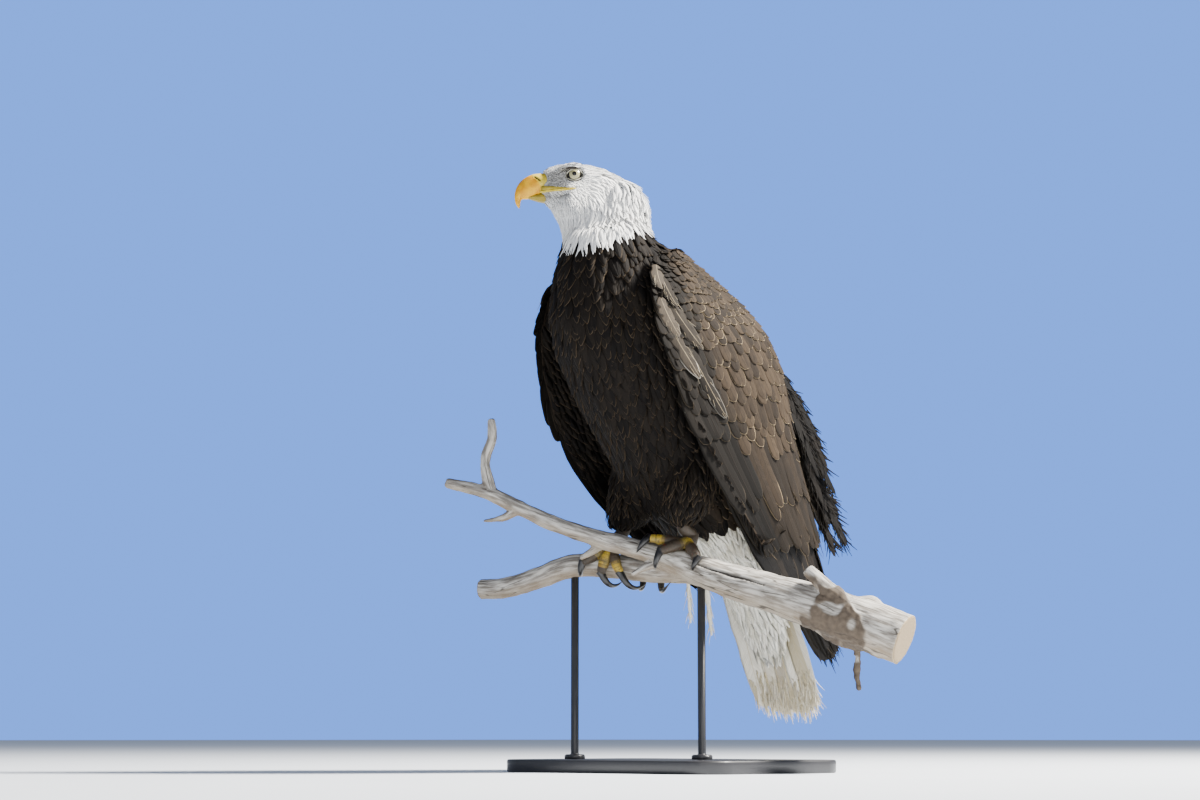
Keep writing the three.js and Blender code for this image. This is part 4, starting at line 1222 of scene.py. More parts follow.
def evenly_across(along, count, shift):
    """Places over the wing that lie evenly on its face."""
    fine = np.linspace(0, 1, 60)
    line = wing_face(np.full(60, along), fine)
    length = np.concatenate([[0], np.cumsum(np.linalg.norm(np.diff(line, axis=0), axis=1))])
    return np.interp((np.arange(count) + 0.5 + shift) / count * length[-1], length, fine), length[-1]


def for_wing(side, points, outs):
    """The left wing's places, or the same mirrored for the right, in metres."""
    mirror = np.array([1 if side == "left" else -1, 1, 1])
    return PERCH + points * mirror * MM, outs * mirror


def wing_patch(along, across, side):
    """Places on an unwrap of the wings, the left one's beside the right one's."""
    return np.stack([0.02 + 0.45 * across + (0.5 if side == "right" else 0), 0.02 + 0.94 * along], 1)


COVERT = [0.5, 0.85, 1.0, 1.0, 1.0, 0.98, 0.84, 0.52, 0.16]
LONG = [0.35, 0.7, 0.9, 1.0, 1.0, 1.0, 0.98, 0.95, 0.88, 0.76, 0.6, 0.34]
WIDE = [-1, -0.66, -0.33, 0, 0.33, 0.66, 1]
SHAFTED = [-1, -0.7, -0.35, -0.07, 0, 0.07, 0.35, 0.7, 1]
wing_feathers = feather_stuff(
    "wing_coverts", srgb(30, 24, 18), srgb(60, 49, 37), srgb(150, 132, 104), 1.7, srgb(11, 9, 7),
    shaft=srgb(26, 20, 15))
flight_feathers = feather_stuff(
    "flight_feathers", srgb(14, 11, 9), srgb(34, 28, 22), srgb(104, 90, 70), 1.0, srgb(7, 6, 5), 0.6,
    rim_strength=0.7, shaft=srgb(12, 9, 7))
worn_feathers = feather_stuff(
    "worn_feathers", srgb(34, 29, 25), srgb(86, 77, 66), srgb(226, 220, 206), 1.9, srgb(14, 12, 10),
    shaft=srgb(132, 120, 98))


def frays(name, stuff, slot, lines, outs, widths, outline, dice, each, reach, wide, start=0.4, splay=0.45,
          shade=0.0):
    """Loose clumps of barbs along the edges and the end of long feathers: each of them on every feather, from
    start on, reach long and wide (millimetres) and splayed by an angle."""
    which = np.repeat(np.arange(len(lines)), each)
    count = len(which)
    place = start + (0.97 - start) * dice.random(count) ** 0.7
    hand = dice.choice([-1, 1], count)
    last = lines.shape[1] - 1
    k = np.minimum(np.floor(place * last).astype(int), last - 1)
    part = (place * last - k)[:, None]
    spots = lines[which, k] * (1 - part) + lines[which, k + 1] * part
    runs = unit(lines[which, k + 1] - lines[which, k])
    ups = outs[which, k]
    ups = unit(ups - runs * (ups * runs).sum(1)[:, None])
    sides = np.cross(runs, ups) * hand[:, None]
    half = widths[which] / 2 * np.interp(place, np.linspace(0, 1, len(outline)), outline)
    spots = spots + sides * (half * (0.25 + 0.45 * dice.random(count)))[:, None]
    angle = (splay * (0.35 + dice.random(count)))[:, None]
    steps = np.linspace(0, 1, 5)[None, :, None]
    long = (reach * MM * (0.6 + 0.8 * dice.random(count)))[:, None, None]
    bend = (0.5 * dice.normal(size=count))[:, None, None]
    way = runs * np.cos(angle) + sides * np.sin(angle)
    curve = spots[:, None] + way[:, None] * long * steps
    curve = curve + (runs[:, None] * 0.35 + ups[:, None] * bend * 0.5) * long * steps**2
    marks = dice.random((count, 3))
    marks[:, 2] = shade
    made = vanes(name, curve, np.repeat(ups[:, None], 5, 1), wide * MM * (0.7 + 0.6 * dice.random(count)),
                 [0.7, 1.0, 0.85, 0.6, 0.25], FINE, 0.35 * MM, 0.3, marks, unwrap(spots))
    made.data.materials.append(stuff)
    settle(made, slot)


def wing_rows(rows, dice):
    """Roots of covert feathers in staggered rows: along, across, length and width of each."""
    found = []
    for number, (along, spacing, length, width) in enumerate(rows):
        _, face_length = evenly_across(along, 2, 0)
        count = max(3, round(face_length / spacing))
        across, _ = evenly_across(along, count, 0.5 * (number % 2) - 0.25)
        found.append(np.stack([
            along + 0.004 * dice.normal(size=count), np.clip(across + 0.004 * dice.normal(size=count), 0, 1),
            length * (1 + 0.08 * dice.normal(size=count)), width * (1 + 0.05 * dice.normal(size=count))], 1))
    return np.concatenate(found)


def covert_rows():
    """Rows from the wrist to half way down the wing, their feathers larger and further apart as they go."""
    rows, along = [], 0.0
    while along < 0.5:
        grow = step_between(along, 0.04, 0.42)
        spacing, length, width = 9 + 8.5 * grow, 24 + 30 * grow, 13 + 10.5 * grow
        rows.append((along, spacing, length, width))
        along += (7 + 10.5 * grow) / WING_LENGTH
    return rows


def lay_on_wing(name, stuff, slot, side, roots, ends, depths, widths, outline, across, thick, dice,
                camber=0.12, ragged=0.0, lift=0.0, nodes=(), shade=0.0, tight=1.0):
    """Feathers from roots to ends, both places on the wing, with the depth under its face at each end. tight
    over 1 gathers the stations towards the tip. Gives back the middle lines and the ways out."""
    f = 1 - (1 - np.linspace(0, 1, len(outline))) ** tight
    path = roots[:, None] * (1 - f)[None, :, None] + ends[:, None] * f[None, :, None]
    depth = depths[:, :1] * (1 - f) ** 0.7 + depths[:, 1:] * (1 - (1 - f) ** 0.7)
    points, outs = on_wing(path[..., 0], path[..., 1], depth)
    points = points + outs * (lift * dice.normal(size=(len(roots), 1)) * f**3)[..., None]
    lines, outs = for_wing(side, points, outs)
    shares = np.asarray(outline) * (1 - ragged * dice.random((len(roots), len(outline))) ** 2)
    marks = dice.random((len(roots), 3))
    marks[:, 1] *= step_between(roots[:, 0], 0.02, 0.2)
    marks[:, 2] = shade
    made = vanes(name, lines, outs, widths * MM, shares, across, thick * MM, camber, marks,
                 wing_patch(roots[:, 0], roots[:, 1], side), tip_depth=0.5)
    made.data.materials.append(stuff)
    settle(made, slot, *nodes)
    return lines, outs


def leading_edge_painted_shade(along, across):
    """How dark the coverts are painted: black towards the leading edge, which the breast feathers reach over,
    as painted shade.
    """
    band = np.interp(along, [0, 0.08, 0.4, 0.6], [0.16, 0.2, 0.2, 0.12])
    return 0.92 * step_between(-across, -band - 0.07, -band + 0.03)


LINING_WIDTH = 12
LINING_TOP = (345, 372)  # millimetres over the perch: up there the lining gets shorter and flatter
# root along and across, tip along and across, width in millimetres, and how dark
THUMB = np.array([
    [0.05, 0.02, 0.13, 0.06, 22, 0.35], [0.09, 0.08, 0.18, 0.13, 20, 0.8],
    [0.15, 0.04, 0.25, 0.09, 27, 0.2], [0.17, 0.11, 0.29, 0.18, 25, 0.6],
    [0.23, 0.06, 0.34, 0.12, 25, 0.45], [0.28, 0.12, 0.42, 0.18, 26, 0.8],
])
for side, hand in (("left", 1), ("right", -1)):
    dice = np.random.default_rng(21 if side == "left" else 22)
    # Small feathers close the wing's edges and its inner face.
    edge = (face_owner == f"wing_{side}_coverts") & (face_normals[:, 0] * hand < 0.55)
    spots, faces = scatter(edge, 6.5 * MM, dice)
    steps = np.linspace(0, 1, len(ROUND))
    outs = np.repeat(face_normals[faces][:, None], len(steps), 1)
    wing_way = np.array([-0.06 * hand, 0.57, -0.82])
    way = unit(wing_way - face_normals[faces] * (face_normals[faces] @ wing_way)[:, None])
    on_top = step_between(from_perch(spots)[:, 2], *LINING_TOP)
    long = MM * (24 - 12 * step_between(face_normals[faces, 2], 0.2, 0.7)) * (1 - 0.5 * on_top)
    lines = spots[:, None] + way[:, None] * (long[:, None] * steps)[..., None]
    lines = lines + outs * (MM * (0.4 + np.outer(3.4 - 3 * on_top, steps**0.8)))[..., None]
    marks = dice.random((len(spots), 3)) * [1, 1, 0]
    widths = LINING_WIDTH * MM * (0.85 + 0.3 * dice.random(len(spots)))
    lining = vanes(f"wing_{side}_lining", lines, outs, widths, ROUND, FINE, 0.35 * MM, 0.25, marks,
                   unwrap(spots))
    lining.data.materials.append(breast_feathers)
    settle(lining, "plumage_dark")

    seeds = wing_rows(covert_rows(), dice)
    seeds = seeds[seeds[:, 0] < 0.38 + 0.14 * seeds[:, 1]]
    roots = seeds[:, :2]
    ends = roots + np.stack([seeds[:, 2] / WING_LENGTH, 0.01 * dice.normal(size=len(seeds))], 1)
    lay_on_wing(
        f"wing_{side}_scallops", wing_feathers, "plumage_wing", side, roots, ends,
        np.tile([4.6, 0.6], (len(seeds), 1)), seeds[:, 3], COVERT, WIDE, 0.35, dice, camber=0.12, lift=0.45,
        shade=leading_edge_painted_shade(roots[:, 0], roots[:, 1]), tight=1.7)

    # Greater coverts reach over the roots of the flight feathers, in two layers.
    for layer, (first, last, depth, wide) in enumerate(((0.4, 0.6, 0.6, 25), (0.47, 0.7, 2.2, 27))):
        count = 17
        f = (np.arange(count) + 0.5 * layer) / count
        roots = np.stack([first + 0.1 * f, 0.03 + 0.95 * f], 1)
        ends = np.stack([last - 0.02 + 0.09 * f + 0.012 * dice.normal(size=count), 0.03 + 0.94 * f], 1)
        widths = wide * (0.9 + 0.2 * dice.random(count))
        shade = 0.15 + 0.3 * layer + 0.3 * dice.random(count) + leading_edge_painted_shade(roots[:, 0], f)
        lines, outs = lay_on_wing(
            f"wing_{side}_greater_coverts_{layer}", wing_feathers, "plumage_wing", side, roots, ends,
            np.tile([4.3, depth], (count, 1)), widths, LONG, SHAFTED, 0.45, dice, camber=0.1, ragged=0.1,
            lift=0.7, shade=np.clip(shade, 0, 0.95), tight=1.4)
        frays(f"wing_{side}_greater_frays_{layer}", wing_feathers, "plumage_wing", lines, outs,
              np.full(count, wide * MM), LONG, dice, each=2, reach=12, wide=1.8, start=0.7, splay=0.15,
              shade=0.6)

    # Secondaries, and under them primaries, each feather a little deeper than the one before it.
    count = 15
    f = np.linspace(0, 1, count)
    number = np.arange(count)
    roots = np.stack([0.5 + 0 * f, 0.08 + 0.84 * f], 1)
    ends = np.stack([0.74 + 0.07 * np.sin(2.4 * f) + 0.03 * f, 0.06 + 0.88 * f], 1)
    lines, outs = lay_on_wing(
        f"wing_{side}_secondaries_vanes", flight_feathers, "plumage_flight", side, roots, ends,
        np.stack([11 + 0.4 * number, 6.4 + 0.3 * number], 1), np.full(count, FLIGHT_WIDTH), LONG,
        SHAFTED, 0.7, dice, camber=0.08, ragged=0.16, lift=0.8, nodes=[f"wing_{side}_secondaries"],
        shade=0.3 * dice.random(count), tight=1.4)
    frays(f"wing_{side}_secondaries_frays", flight_feathers, "plumage_flight", lines, outs,
          np.full(count, FLIGHT_WIDTH * MM), LONG, dice, each=7, reach=9, wide=2.6, start=0.7, splay=0.2)

    count = 9
    f = np.linspace(0, 1, count)
    number = np.arange(count)
    roots = np.stack([0.5 + 0 * f, 0.52 - 0.34 * f], 1)
    ends = np.stack([0.9 + 0.095 * np.sqrt(np.sin(1.9 * f)), 0.66 - 0.46 * f], 1)
    lines, outs = lay_on_wing(
        f"wing_{side}_primaries_vanes", flight_feathers, "plumage_flight", side, roots, ends,
        np.stack([15 + 0.6 * number, 13 + 0.5 * number], 1), np.full(count, FLIGHT_WIDTH), LONG,
        SHAFTED, 0.8, dice, camber=0.06, ragged=0.14, lift=0.5, nodes=[f"wing_{side}_primaries"],
        shade=0.75, tight=1.4)
    frays(f"wing_{side}_primaries_frays", flight_feathers, "plumage_flight", lines, outs,
          np.full(count, FLIGHT_WIDTH * MM), LONG, dice, each=6, reach=14, wide=2.4, start=0.75, splay=0.2,
          shade=0.75)

    # The tertials stand off the back in a ragged fringe with curling, split ends.
    count = 20
    f = np.linspace(0, 1, count)
    roots, _ = on_wing(0.3 + 0.26 * f, 0.88 + 0 * f, 9 + 0 * f)
    tips = np.stack([42 - 6 * f, 254 + 64 * f**0.8, 162 - 145 * f], 1)
    tips = tips + dice.normal(size=(count, 3)) * [4, 4, 7] + np.outer(np.arange(count) % 2, [4, -30, -6])
    steps = np.linspace(0, 1, len(LONG))[None, :, None]
    curl = (0.4 + dice.random(count))[:, None, None]
    sag = np.sin(math.pi * steps) * np.array([3.0, 7.0, 9.0]) + curl * steps**3 * np.array([5.0, 6.0, 3.0])
    points = roots[:, None] * (1 - steps) + tips[:, None] * steps + sag
    runs = unit(tips - roots)
    outward = np.array([1.0, 0.1, 0.25])
    outs = unit(outward - runs * (runs @ outward)[:, None])
    lines, outs = for_wing(side, points, np.repeat(outs[:, None], len(LONG), 1))
    shares = np.asarray(LONG) * (1 - 0.35 * dice.random((count, len(LONG))) ** 2)
    widths = 27 * MM * (0.85 + 0.3 * dice.random(count))
    # Painted shade takes each of them from half to all of the way to near black.
    marks = dice.random((count, 3)) * [1, 1, 0.5] + [0, 0, 0.5]
    made = vanes(f"wing_{side}_tertials_vanes", lines, outs, widths, shares, SHAFTED, 0.7 * MM, 0.18, marks,
                 wing_patch(0.97 + 0 * f, f, side))
    made.data.materials.append(flight_feathers)
    settle(made, "plumage_flight", f"wing_{side}_tertials")
    # Their frays are darkened by painted shade too.
    frays(f"wing_{side}_tertials_frays", flight_feathers, "plumage_flight", lines, outs, widths, LONG, dice,
          each=26, reach=17, wide=3.2, start=0.4, splay=0.6, shade=0.8)

    # Bleached, frayed feathers of the thumb lie over the dark leading edge.
    lines, outs = lay_on_wing(
        f"wing_{side}_thumb_feathers", worn_feathers, "plumage_wing", side, THUMB[:, :2], THUMB[:, 2:4],
        np.tile([1.0, -1.6], (len(THUMB), 1)), THUMB[:, 4], LONG, SHAFTED, 0.4, dice, camber=0.16, ragged=0.4,
        lift=0.6, shade=THUMB[:, 5])
    frays(f"wing_{side}_thumb_frays", worn_feathers, "plumage_wing", lines, outs, THUMB[:, 4] * MM, LONG,
          dice, each=7, reach=7, wide=1.1, start=0.45, splay=0.2, shade=0.2)

# ---- Tail ----
# Twelve long white feathers in a closed fan, soiled in streaks and frayed at their ends. Two frayed plumes
# of the vent hang under it, behind the branch.

TAIL_ROOT = np.array([0, 179, 4.0])  # millimetres from the perch
TAIL_SLOPE = math.radians(67)  # below level
TAIL_LENGTH = 212
TAIL_FEATHERS = 12
TAIL_HALF = 41  # from the middle to the outermost feather's root
TAIL_SPREAD = math.radians(1.5)  # how far that feather turns out
TAIL_WIDTH = 34  # of a feather
sideways = np.array([1.0, 0, 0])
tail_run = np.array([0, math.cos(TAIL_SLOPE), -math.sin(TAIL_SLOPE)])
tail_out = np.array([0, math.sin(TAIL_SLOPE), math.cos(TAIL_SLOPE)])
tail_feathers = feather_stuff(
    "tail_feathers", srgb(206, 194, 164), srgb(252, 247, 233), srgb(255, 252, 242), 1.0, srgb(120, 102, 76),
    rim_strength=0.5, shaft=srgb(190, 172, 130))
dice = np.random.default_rng(31)
FRAYED = [0.6, 0.85, 0.95, 1, 1, 1, 1, 0.98, 0.96, 0.93, 0.88, 0.8, 0.68, 0.5]
share = np.linspace(-1, 1, TAIL_FEATHERS)
spread = share * TAIL_SPREAD
runs = np.outer(np.cos(spread), tail_run) + np.outer(np.sin(spread), sideways)
start = TAIL_ROOT + np.outer(share * TAIL_HALF, sideways)
start = start + np.outer(3 - 7 * share**2 + 0.9 * (np.arange(TAIL_FEATHERS) % 2), tail_out)
lengths = TAIL_LENGTH - 16 * share**2 - 3 + 4 * dice.random(TAIL_FEATHERS)
steps = np.linspace(0, 1, len(FRAYED))
points = start[:, None] + runs[:, None] * (lengths[:, None] * steps)[..., None]
tilt = share * 0.2
outs = np.outer(np.cos(tilt), tail_out) + np.outer(np.sin(tilt), sideways)
outs = np.repeat(outs[:, None], len(FRAYED), 1)
shares = np.asarray(FRAYED) * (1 - 0.14 * dice.random((TAIL_FEATHERS, len(FRAYED))) ** 2)
marks = dice.random((TAIL_FEATHERS, 3)) * [1, 1, 0.3]
marks[[4, 7], 2] = 0.6
widths = np.full(TAIL_FEATHERS, TAIL_WIDTH * MM)
tail = vanes("tail_fan", PERCH + points * MM, outs, widths, shares, SHAFTED, 0.7 * MM, 0.05, marks,
             np.stack([0.05 + 0.9 * (share + 1) / 2, 0.5 + 0 * share], 1), tip_depth=0.9)
tail.data.materials.append(tail_feathers)
settle(tail, "plumage_white", "tail")
for name, face in (("tail_frays_over", 1), ("tail_frays_under", -1)):
    frays(name, tail_feathers, "plumage_white", PERCH + points * MM + outs * face * MM, outs * face, widths,
          FRAYED, dice, each=30, reach=16, wide=2.2, start=0.76, splay=0.03)

# Each plume's root and tip, in millimetres from the perch, and its width.
PLUMES = np.array([[-8, 66, 0, -16, 82, -80, 5.5], [6, 84, -4, -2, 106, -95, 7.5]])
PLUME_OUTLINE = [0.5, 0.8, 1, 0.8, 1, 0.7, 0.9, 0.6, 0.4]
dice = np.random.default_rng(37)
steps = np.linspace(0, 1, len(PLUME_OUTLINE))[None, :, None]
points = PLUMES[:, None, :3] * (1 - steps) + PLUMES[:, None, 3:6] * steps
points = points + np.sin(4 * steps + np.array([0.0, 1.3])[:, None, None]) * np.array([1.6, -1.6, 0])
lines = PERCH + points * MM
outs = np.broadcast_to(unit(np.array([1.0, -1.0, 0.1])), lines.shape)
marks = dice.random((2, 3)) * [1, 1, 0.3]
widths = PLUMES[:, 6] * MM
plumes = vanes("vent_plumes", lines, outs, widths, PLUME_OUTLINE, BROAD, 0.4 * MM, 0.2, marks,
               unwrap(lines[:, 0]))
plumes.data.materials.append(vent_feathers)
settle(plumes, "plumage_white")
frays("vent_plume_frays", vent_feathers, "plumage_white", lines, outs, widths, [0.5, 1, 1, 0.8, 0.5], dice,
      each=16, reach=11, wide=1.2, start=0.35, splay=0.4, shade=0.15)

# ---- Bill ----
# The hooked upper bill is smooth deep yellow horn with a softer, paler cere round the nostril slit at its
# base; the lower bill closes up inside it. A thin yellow lip runs back from the corner under the eye.

# Across the middle plane: millimetres ahead of the eyes and height over them, of the ridge and of the
# cutting edge under it, and half the width there
UPPER_BILL = [
    [30, 3.5, 28, -23, 12], [38, 3.6, 38, -23.5, 12.6], [46, 3.2, 45, -25.2, 12.2],
    [53, 2.2, 51, -27.4, 11.4], [59.5, -0.5, 56, -28.8, 10.3], [65.5, -4.5, 60, -29.2, 9],
    [70.5, -10, 63.5, -29.4, 7.6], [74, -17, 66, -29.8, 6.2], [75.4, -24.5, 67.2, -31.2, 4.8],
    [75, -31, 68, -33.8, 3.6], [73.4, -36.5, 68.4, -37.5, 2.2], [70.4, -40.8, 68.7, -40.6, 0.8],
]
LOWER_BILL = [
    [28, -19, 28, -34.6, 9.5], [38, -20.5, 38, -34.2, 9.5], [46, -22, 46, -32.8, 8.5],
    [53, -24, 52.5, -30.8, 7], [60, -26.5, 60, -28.6, 3],
]
NOSTRIL = np.array([[50, -3.0], [43.5, -8.0]])  # the slit's ends: ahead, up
NOSTRIL_FLOOR = 0.5  # half the slit's width at its bottom and at its lips
NOSTRIL_LIPS = 1.3
BILL_SIDES = 72


def bill_rings(table, steps, flat):
    """Three numbers on the head for each point; flat under 1 fills out the lower half's sides."""
    rows = row_at(table, np.linspace(0, 1, steps))[:, :, None]
    angles = np.linspace(0, 2 * math.pi, BILL_SIDES, endpoint=False)
    rise, swing = np.sin(angles), np.cos(angles)
    # A narrower ridge above, and full sides down to the edge where the two halves meet.
    full = np.sign(swing) * np.abs(swing) ** flat
    swing = np.where(rise < 0, full, swing * (1 - 0.12 * np.clip(rise, 0, 1)))
    top = (1 + rise) / 2
    fore = rows[:, 0] * top + rows[:, 2] * (1 - top)
    up = rows[:, 1] * top + rows[:, 3] * (1 - top)
    return fore, up, rows[:, 4] * swing


def cere_share(fore, up):
    """1 on the cere, 0 on the horn past its edge."""
    edge = np.interp(up, [-24, -15, -9.6, -1.5, 4], [43, 42, 45.5, 53, 56])
    return 1 - step_between(fore, edge - 0.7, edge + 0.7)


def finish_bill(name, table, steps, flat, with_cere, node):
    """One half of the bill; with_cere is 1 for the upper one, with its cere and nostrils, and else 0."""
    fore, up, width = bill_rings(table, steps, flat)
    slit = NOSTRIL[1] - NOSTRIL[0]
    from_slit = fore - NOSTRIL[0, 0], up - NOSTRIL[0, 1]
    place = np.clip((from_slit[0] * slit[0] + from_slit[1] * slit[1]) / slit.dot(slit), 0, 1)
    gap = np.hypot(from_slit[0] - place * slit[0], from_slit[1] - place * slit[1])
    nostril = (1 - step_between(gap, NOSTRIL_FLOOR, NOSTRIL_LIPS)) * with_cere
    cere = cere_share(fore, up) * with_cere
    rim = with_cere * (1 - step_between(gap, NOSTRIL_LIPS, 2 * NOSTRIL_LIPS))
    swell = 1 + (0.5 * cere - 2.4 * nostril + 0.35 * rim) / 12
    points = on_head(fore, up, width * swell)
    bill = shape(name, *wrap_rings(list(points)))
    ends = np.zeros((2, 3))
    # The lower bill takes the darker colour: painted shade under the upper bill.
    low = np.full(fore.shape, 1.0 - with_cere)
    marks = np.stack([cere, nostril, low], 2).reshape(-1, 3)
    store(bill.data, "horn", np.concatenate([marks, ends]))
    settle(bill, "bill_horn", node)
    return bill


bill_horn = material("bill_horn", 0.4, Specular_IOR_Level=0.3)
wires = Wiring(bill_horn)
cere, nostril, low = wires.read_three("horn")
place = wires.place()
mottle = wires.grain(place, 110.0, 4.0)
fine = wires.grain(place, 700.0, 2.0)
horn = wires.mix(wires.fade(mottle, 0.3, 0.7), srgb(208, 142, 0), srgb(238, 180, 0))
horn = wires.mix(wires.fade(fine, 0.62, 0.75, 0.0, 0.4), horn, srgb(150, 100, 20))
soft = wires.mix(wires.fade(mottle, 0.3, 0.7), srgb(184, 158, 24), srgb(222, 198, 74))
colour = wires.mix(cere, horn, soft)
# This darker olive yellow is painted shade on the lower bill, under the upper one, and the softer skin's own
# colour by the mouth.
colour = wires.mix(low, colour, wires.mix(mottle, srgb(112, 96, 28), srgb(168, 146, 48)))
wires.colour(wires.mix(nostril, colour, srgb(26, 18, 10)))
wires.bump(wires.plus(fine, mottle), 0.12, 0.0006)
for bill in (finish_bill("bill_upper_horn", UPPER_BILL, 90, 0.85, 1.0, "bill_upper"),
             finish_bill("bill_lower_horn", LOWER_BILL, 40, 0.8, 0.0, "bill_lower")):
    bill.data.materials.append(bill_horn)


def beside_head(fore, up, hand, out=0.0):
    """Places on the skin at the side of the head, out from it by some millimetres."""
    found = []
    for f, u in zip(fore, up):
        start = Vector(on_head(f, u, 60.0 * hand))
        hit = skin_tree.ray_cast(start, Vector(-head_left * hand))[0]
        side = from_head(np.array(hit)[None])[2][0] if hit is not None else 12.0 * hand
        found.append(on_head(f, u, side + out * hand))
    return np.array(found)


WELT_SIDES = 14


def welt_along(name, line, radius, stuff, slot, mark=0.0):
    """A thin soft welt along a line of places; its radius is in millimetres."""
    welt = shape(name, *wrap_rings(list(tube_rings(smoothed(line, 6), radius * MM, WELT_SIDES))))
    store(welt.data, "horn", np.tile([1.0, 0, mark], (len(welt.data.vertices), 1)))
    welt.data.materials.append(stuff)
    settle(welt, slot)


for side, hand in (("left", 1), ("right", -1)):
    f = np.linspace(0, 1, 36)
    blunt = np.sqrt(np.clip(1 - f**10, 0.05, 1))
    lip = beside_head(43 - 45 * f, -22.4 + 1.3 * f + 0.3 * np.sin(6 * f), hand, 1.2)
    welt_along("mouth_corner_" + side, lip, (1.7 - 0.2 * f) * blunt, bill_horn, "bill_horn")
    # Softer, darker skin fills in between the lip and the cere.
    soft_skin = beside_head(40 - 34 * f, -18.2 - 1.8 * f, hand, 0.2)
    welt_along("mouth_skin_" + side, soft_skin, (3.4 - 2.8 * f) * blunt, bill_horn, "bill_horn", 0.75)

# ---- Eyes ----
# A wet ball with a straw-coloured iris and a round pupil, deep under the brow, in a narrow pale lid that is
# dark on its inner edge and painted with shadow on its outer edge.

IRIS_RADIUS = 7.0
PUPIL_RADIUS = 2.8
CORNEA = 0.7  # how far the clear front of the ball stands out, over this radius
CORNEA_RADIUS = 4.6
EYE_SIDES = 64
LID_SIZE = (10.6, 7.2)  # half its length and half its height
LID_THICKNESS = 1.45  # the radius of its rim
LID_STEPS = 72
LID_SIDES = 16
wet_eye = material("wet_eye", 0.06, Specular_IOR_Level=0.45)
wires = Wiring(wet_eye)
gaze, turn, _ = wires.read_three("gaze")
spoke_place = wires.vector(wires.times(turn, 5.0), wires.times(gaze, 0.25), 0.0)
spokes = wires.grain(spoke_place, 3.0)
iris = wires.mix(spokes, srgb(120, 112, 74), srgb(202, 196, 154))
ring = wires.times(wires.fade(gaze, 3.6, 4.4), wires.fade(gaze, 4.6, 5.4, 1.0, 0.0))
iris = wires.mix(wires.times(ring, 0.45), iris, srgb(96, 90, 66))
iris = wires.mix(wires.fade(gaze, IRIS_RADIUS - 1.3, IRIS_RADIUS - 0.4, 0.0, 0.8), iris, srgb(84, 78, 58))
iris = wires.mix(wires.fade(gaze, IRIS_RADIUS - 0.4, IRIS_RADIUS + 0.1), iris, srgb(12, 10, 8))
wires.colour(wires.mix(wires.fade(gaze, PUPIL_RADIUS - 0.15, PUPIL_RADIUS + 0.25), srgb(5, 5, 6), iris))

lid_skin = material("lid_skin", 0.5)
wires = Wiring(lid_skin)
outer, _, _ = wires.read_three("horn")
# The rim is dark where it turns in against the ball, pale in the middle, and greyed on its outer side,
# against the feathers, as painted shadow.
lid_colour = wires.mix(wires.fade(outer, -0.5, -0.1), srgb(16, 13, 10), srgb(172, 168, 150))
wires.colour(wires.mix(wires.fade(outer, 0.35, 0.75), lid_colour, srgb(58, 54, 48)))
brow_skin_and_shadow = material("brow_skin_and_shadow", 0.7)
wires = Wiring(brow_skin_and_shadow)
# Dark skin, painted darker as the shadow under the brow.
wires.colour(wires.mix(wires.grain(wires.place(), 900.0), srgb(24, 20, 15), srgb(58, 50, 40)))

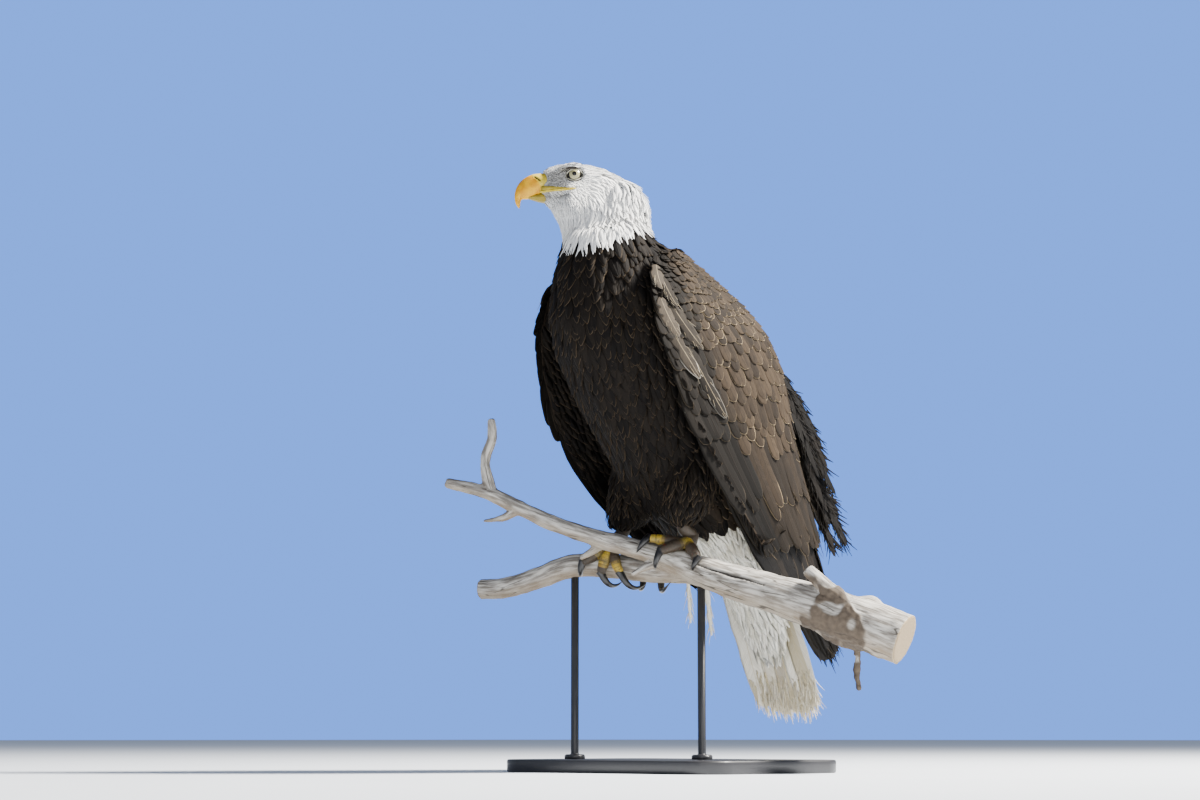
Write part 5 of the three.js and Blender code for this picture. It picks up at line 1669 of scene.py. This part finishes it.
for side, hand in (("left", 1), ("right", -1)):
    axis = unit(head_left * hand + ahead * 0.04 + head_up * 0.02)
    across_axis = unit(np.cross(head_up, axis))
    up_axis = np.cross(axis, across_axis)
    lean = np.concatenate([np.linspace(0.02, 0.9, 34), np.linspace(0.95, math.pi - 0.05, 22)])
    turns = np.linspace(0, 2 * math.pi, EYE_SIDES, endpoint=False)
    dome = CORNEA * np.exp(-((EYE_RADIUS * np.sin(lean) / CORNEA_RADIUS) ** 2)) * (np.cos(lean) > 0)
    radius = EYE_RADIUS + dome
    out = radius * np.cos(lean)
    wide = radius * np.sin(lean)
    ring = np.cos(turns)[:, None] * across_axis - np.sin(turns)[:, None] * up_axis
    centre = on_head(EYE["fore"], EYE["up"], EYE["left"] * hand)
    rings = centre + (wide[:, None, None] * ring[None] + out[:, None, None] * axis) * MM
    eye = shape("eyeball_" + side, *wrap_rings(list(rings)))
    # The distance out from the line of sight, and 20, past the iris, for all of the back.
    reach = np.repeat(np.where(np.cos(lean) > 0, wide, 20.0), EYE_SIDES)
    marks = np.stack([reach, np.tile(np.sin(turns * 2), len(lean)), 0 * reach], 1)
    store(eye.data, "gaze", np.concatenate([marks, [[0, 0, 0], [20, 0, 0]]]))
    eye.data.materials.append(wet_eye)
    settle(eye, "eye_surface", "eye_" + side)

    # The lids' ring rests on the ball, and on the socket at its corners.
    turns = np.linspace(0, 2 * math.pi, LID_STEPS, endpoint=False)
    fore = EYE["fore"] + 0.2 + LID_SIZE[0] * np.cos(turns)
    almond = np.sin(turns) * (1 - 0.22 * np.cos(turns) ** 2)
    up = EYE["up"] - 0.5 + LID_SIZE[1] * almond - 0.4 * np.cos(turns)
    above_ball = (EYE_RADIUS + 0.3) ** 2 - (fore - EYE["fore"]) ** 2 - (up - EYE["up"]) ** 2
    on_ball = EYE["left"] + np.sqrt(np.clip(above_ball, 0, None))
    on_hide = from_head(beside_head(fore, up, hand, 0.4))[2] * hand
    line = on_head(fore, up, np.maximum(on_ball, np.minimum(on_hide, on_ball + 3)) * hand)
    middle = line.mean(0)
    runs = unit(np.roll(line, -1, 0) - np.roll(line, 1, 0))
    outs = unit(line - middle - runs * ((line - middle) * runs).sum(1)[:, None])
    ups = np.cross(runs, outs)
    section = np.linspace(0, 2 * math.pi, LID_SIDES, endpoint=False)
    rings = line[:, None] + LID_THICKNESS * MM * (np.cos(section)[None, :, None] * outs[:, None]
                                                  + 0.75 * np.sin(section)[None, :, None] * ups[:, None])
    faces = []
    for here in range(LID_STEPS):
        there = (here + 1) % LID_STEPS
        for k in range(LID_SIDES):
            after = (k + 1) % LID_SIDES
            faces.append((here * LID_SIDES + k, here * LID_SIDES + after,
                          there * LID_SIDES + after, there * LID_SIDES + k))
    lid = shape("eyelid_" + side, rings.reshape(-1, 3), faces)
    rim = np.tile(np.cos(section), LID_STEPS)
    store(lid.data, "horn", np.stack([rim, 0 * rim, 0 * rim], 1))
    lid.data.materials.append(lid_skin)
    settle(lid, "plumage_white")

    # Bare dark skin lines the brow's underside, and hoods the top of the eye; its dark colour is partly the
    # brow's painted shadow.
    f = np.linspace(0, 1, 30)
    fore = 16 - 23 * f
    left_place = np.interp(fore, [-8, -2, 5, 11, 16], [27.6, 28.2, 27.6, 25.6, 22.0])
    line = on_head(fore, 5.4 - 1.9 * f + 0.6 * np.sin(math.pi * f), left_place * hand)
    radius = 0.4 + 1.7 * np.sin(math.pi * np.clip(f * 0.92 + 0.06, 0, 1))
    welt_along("brow_line_" + side, line, radius, brow_skin_and_shadow, "plumage_dark")
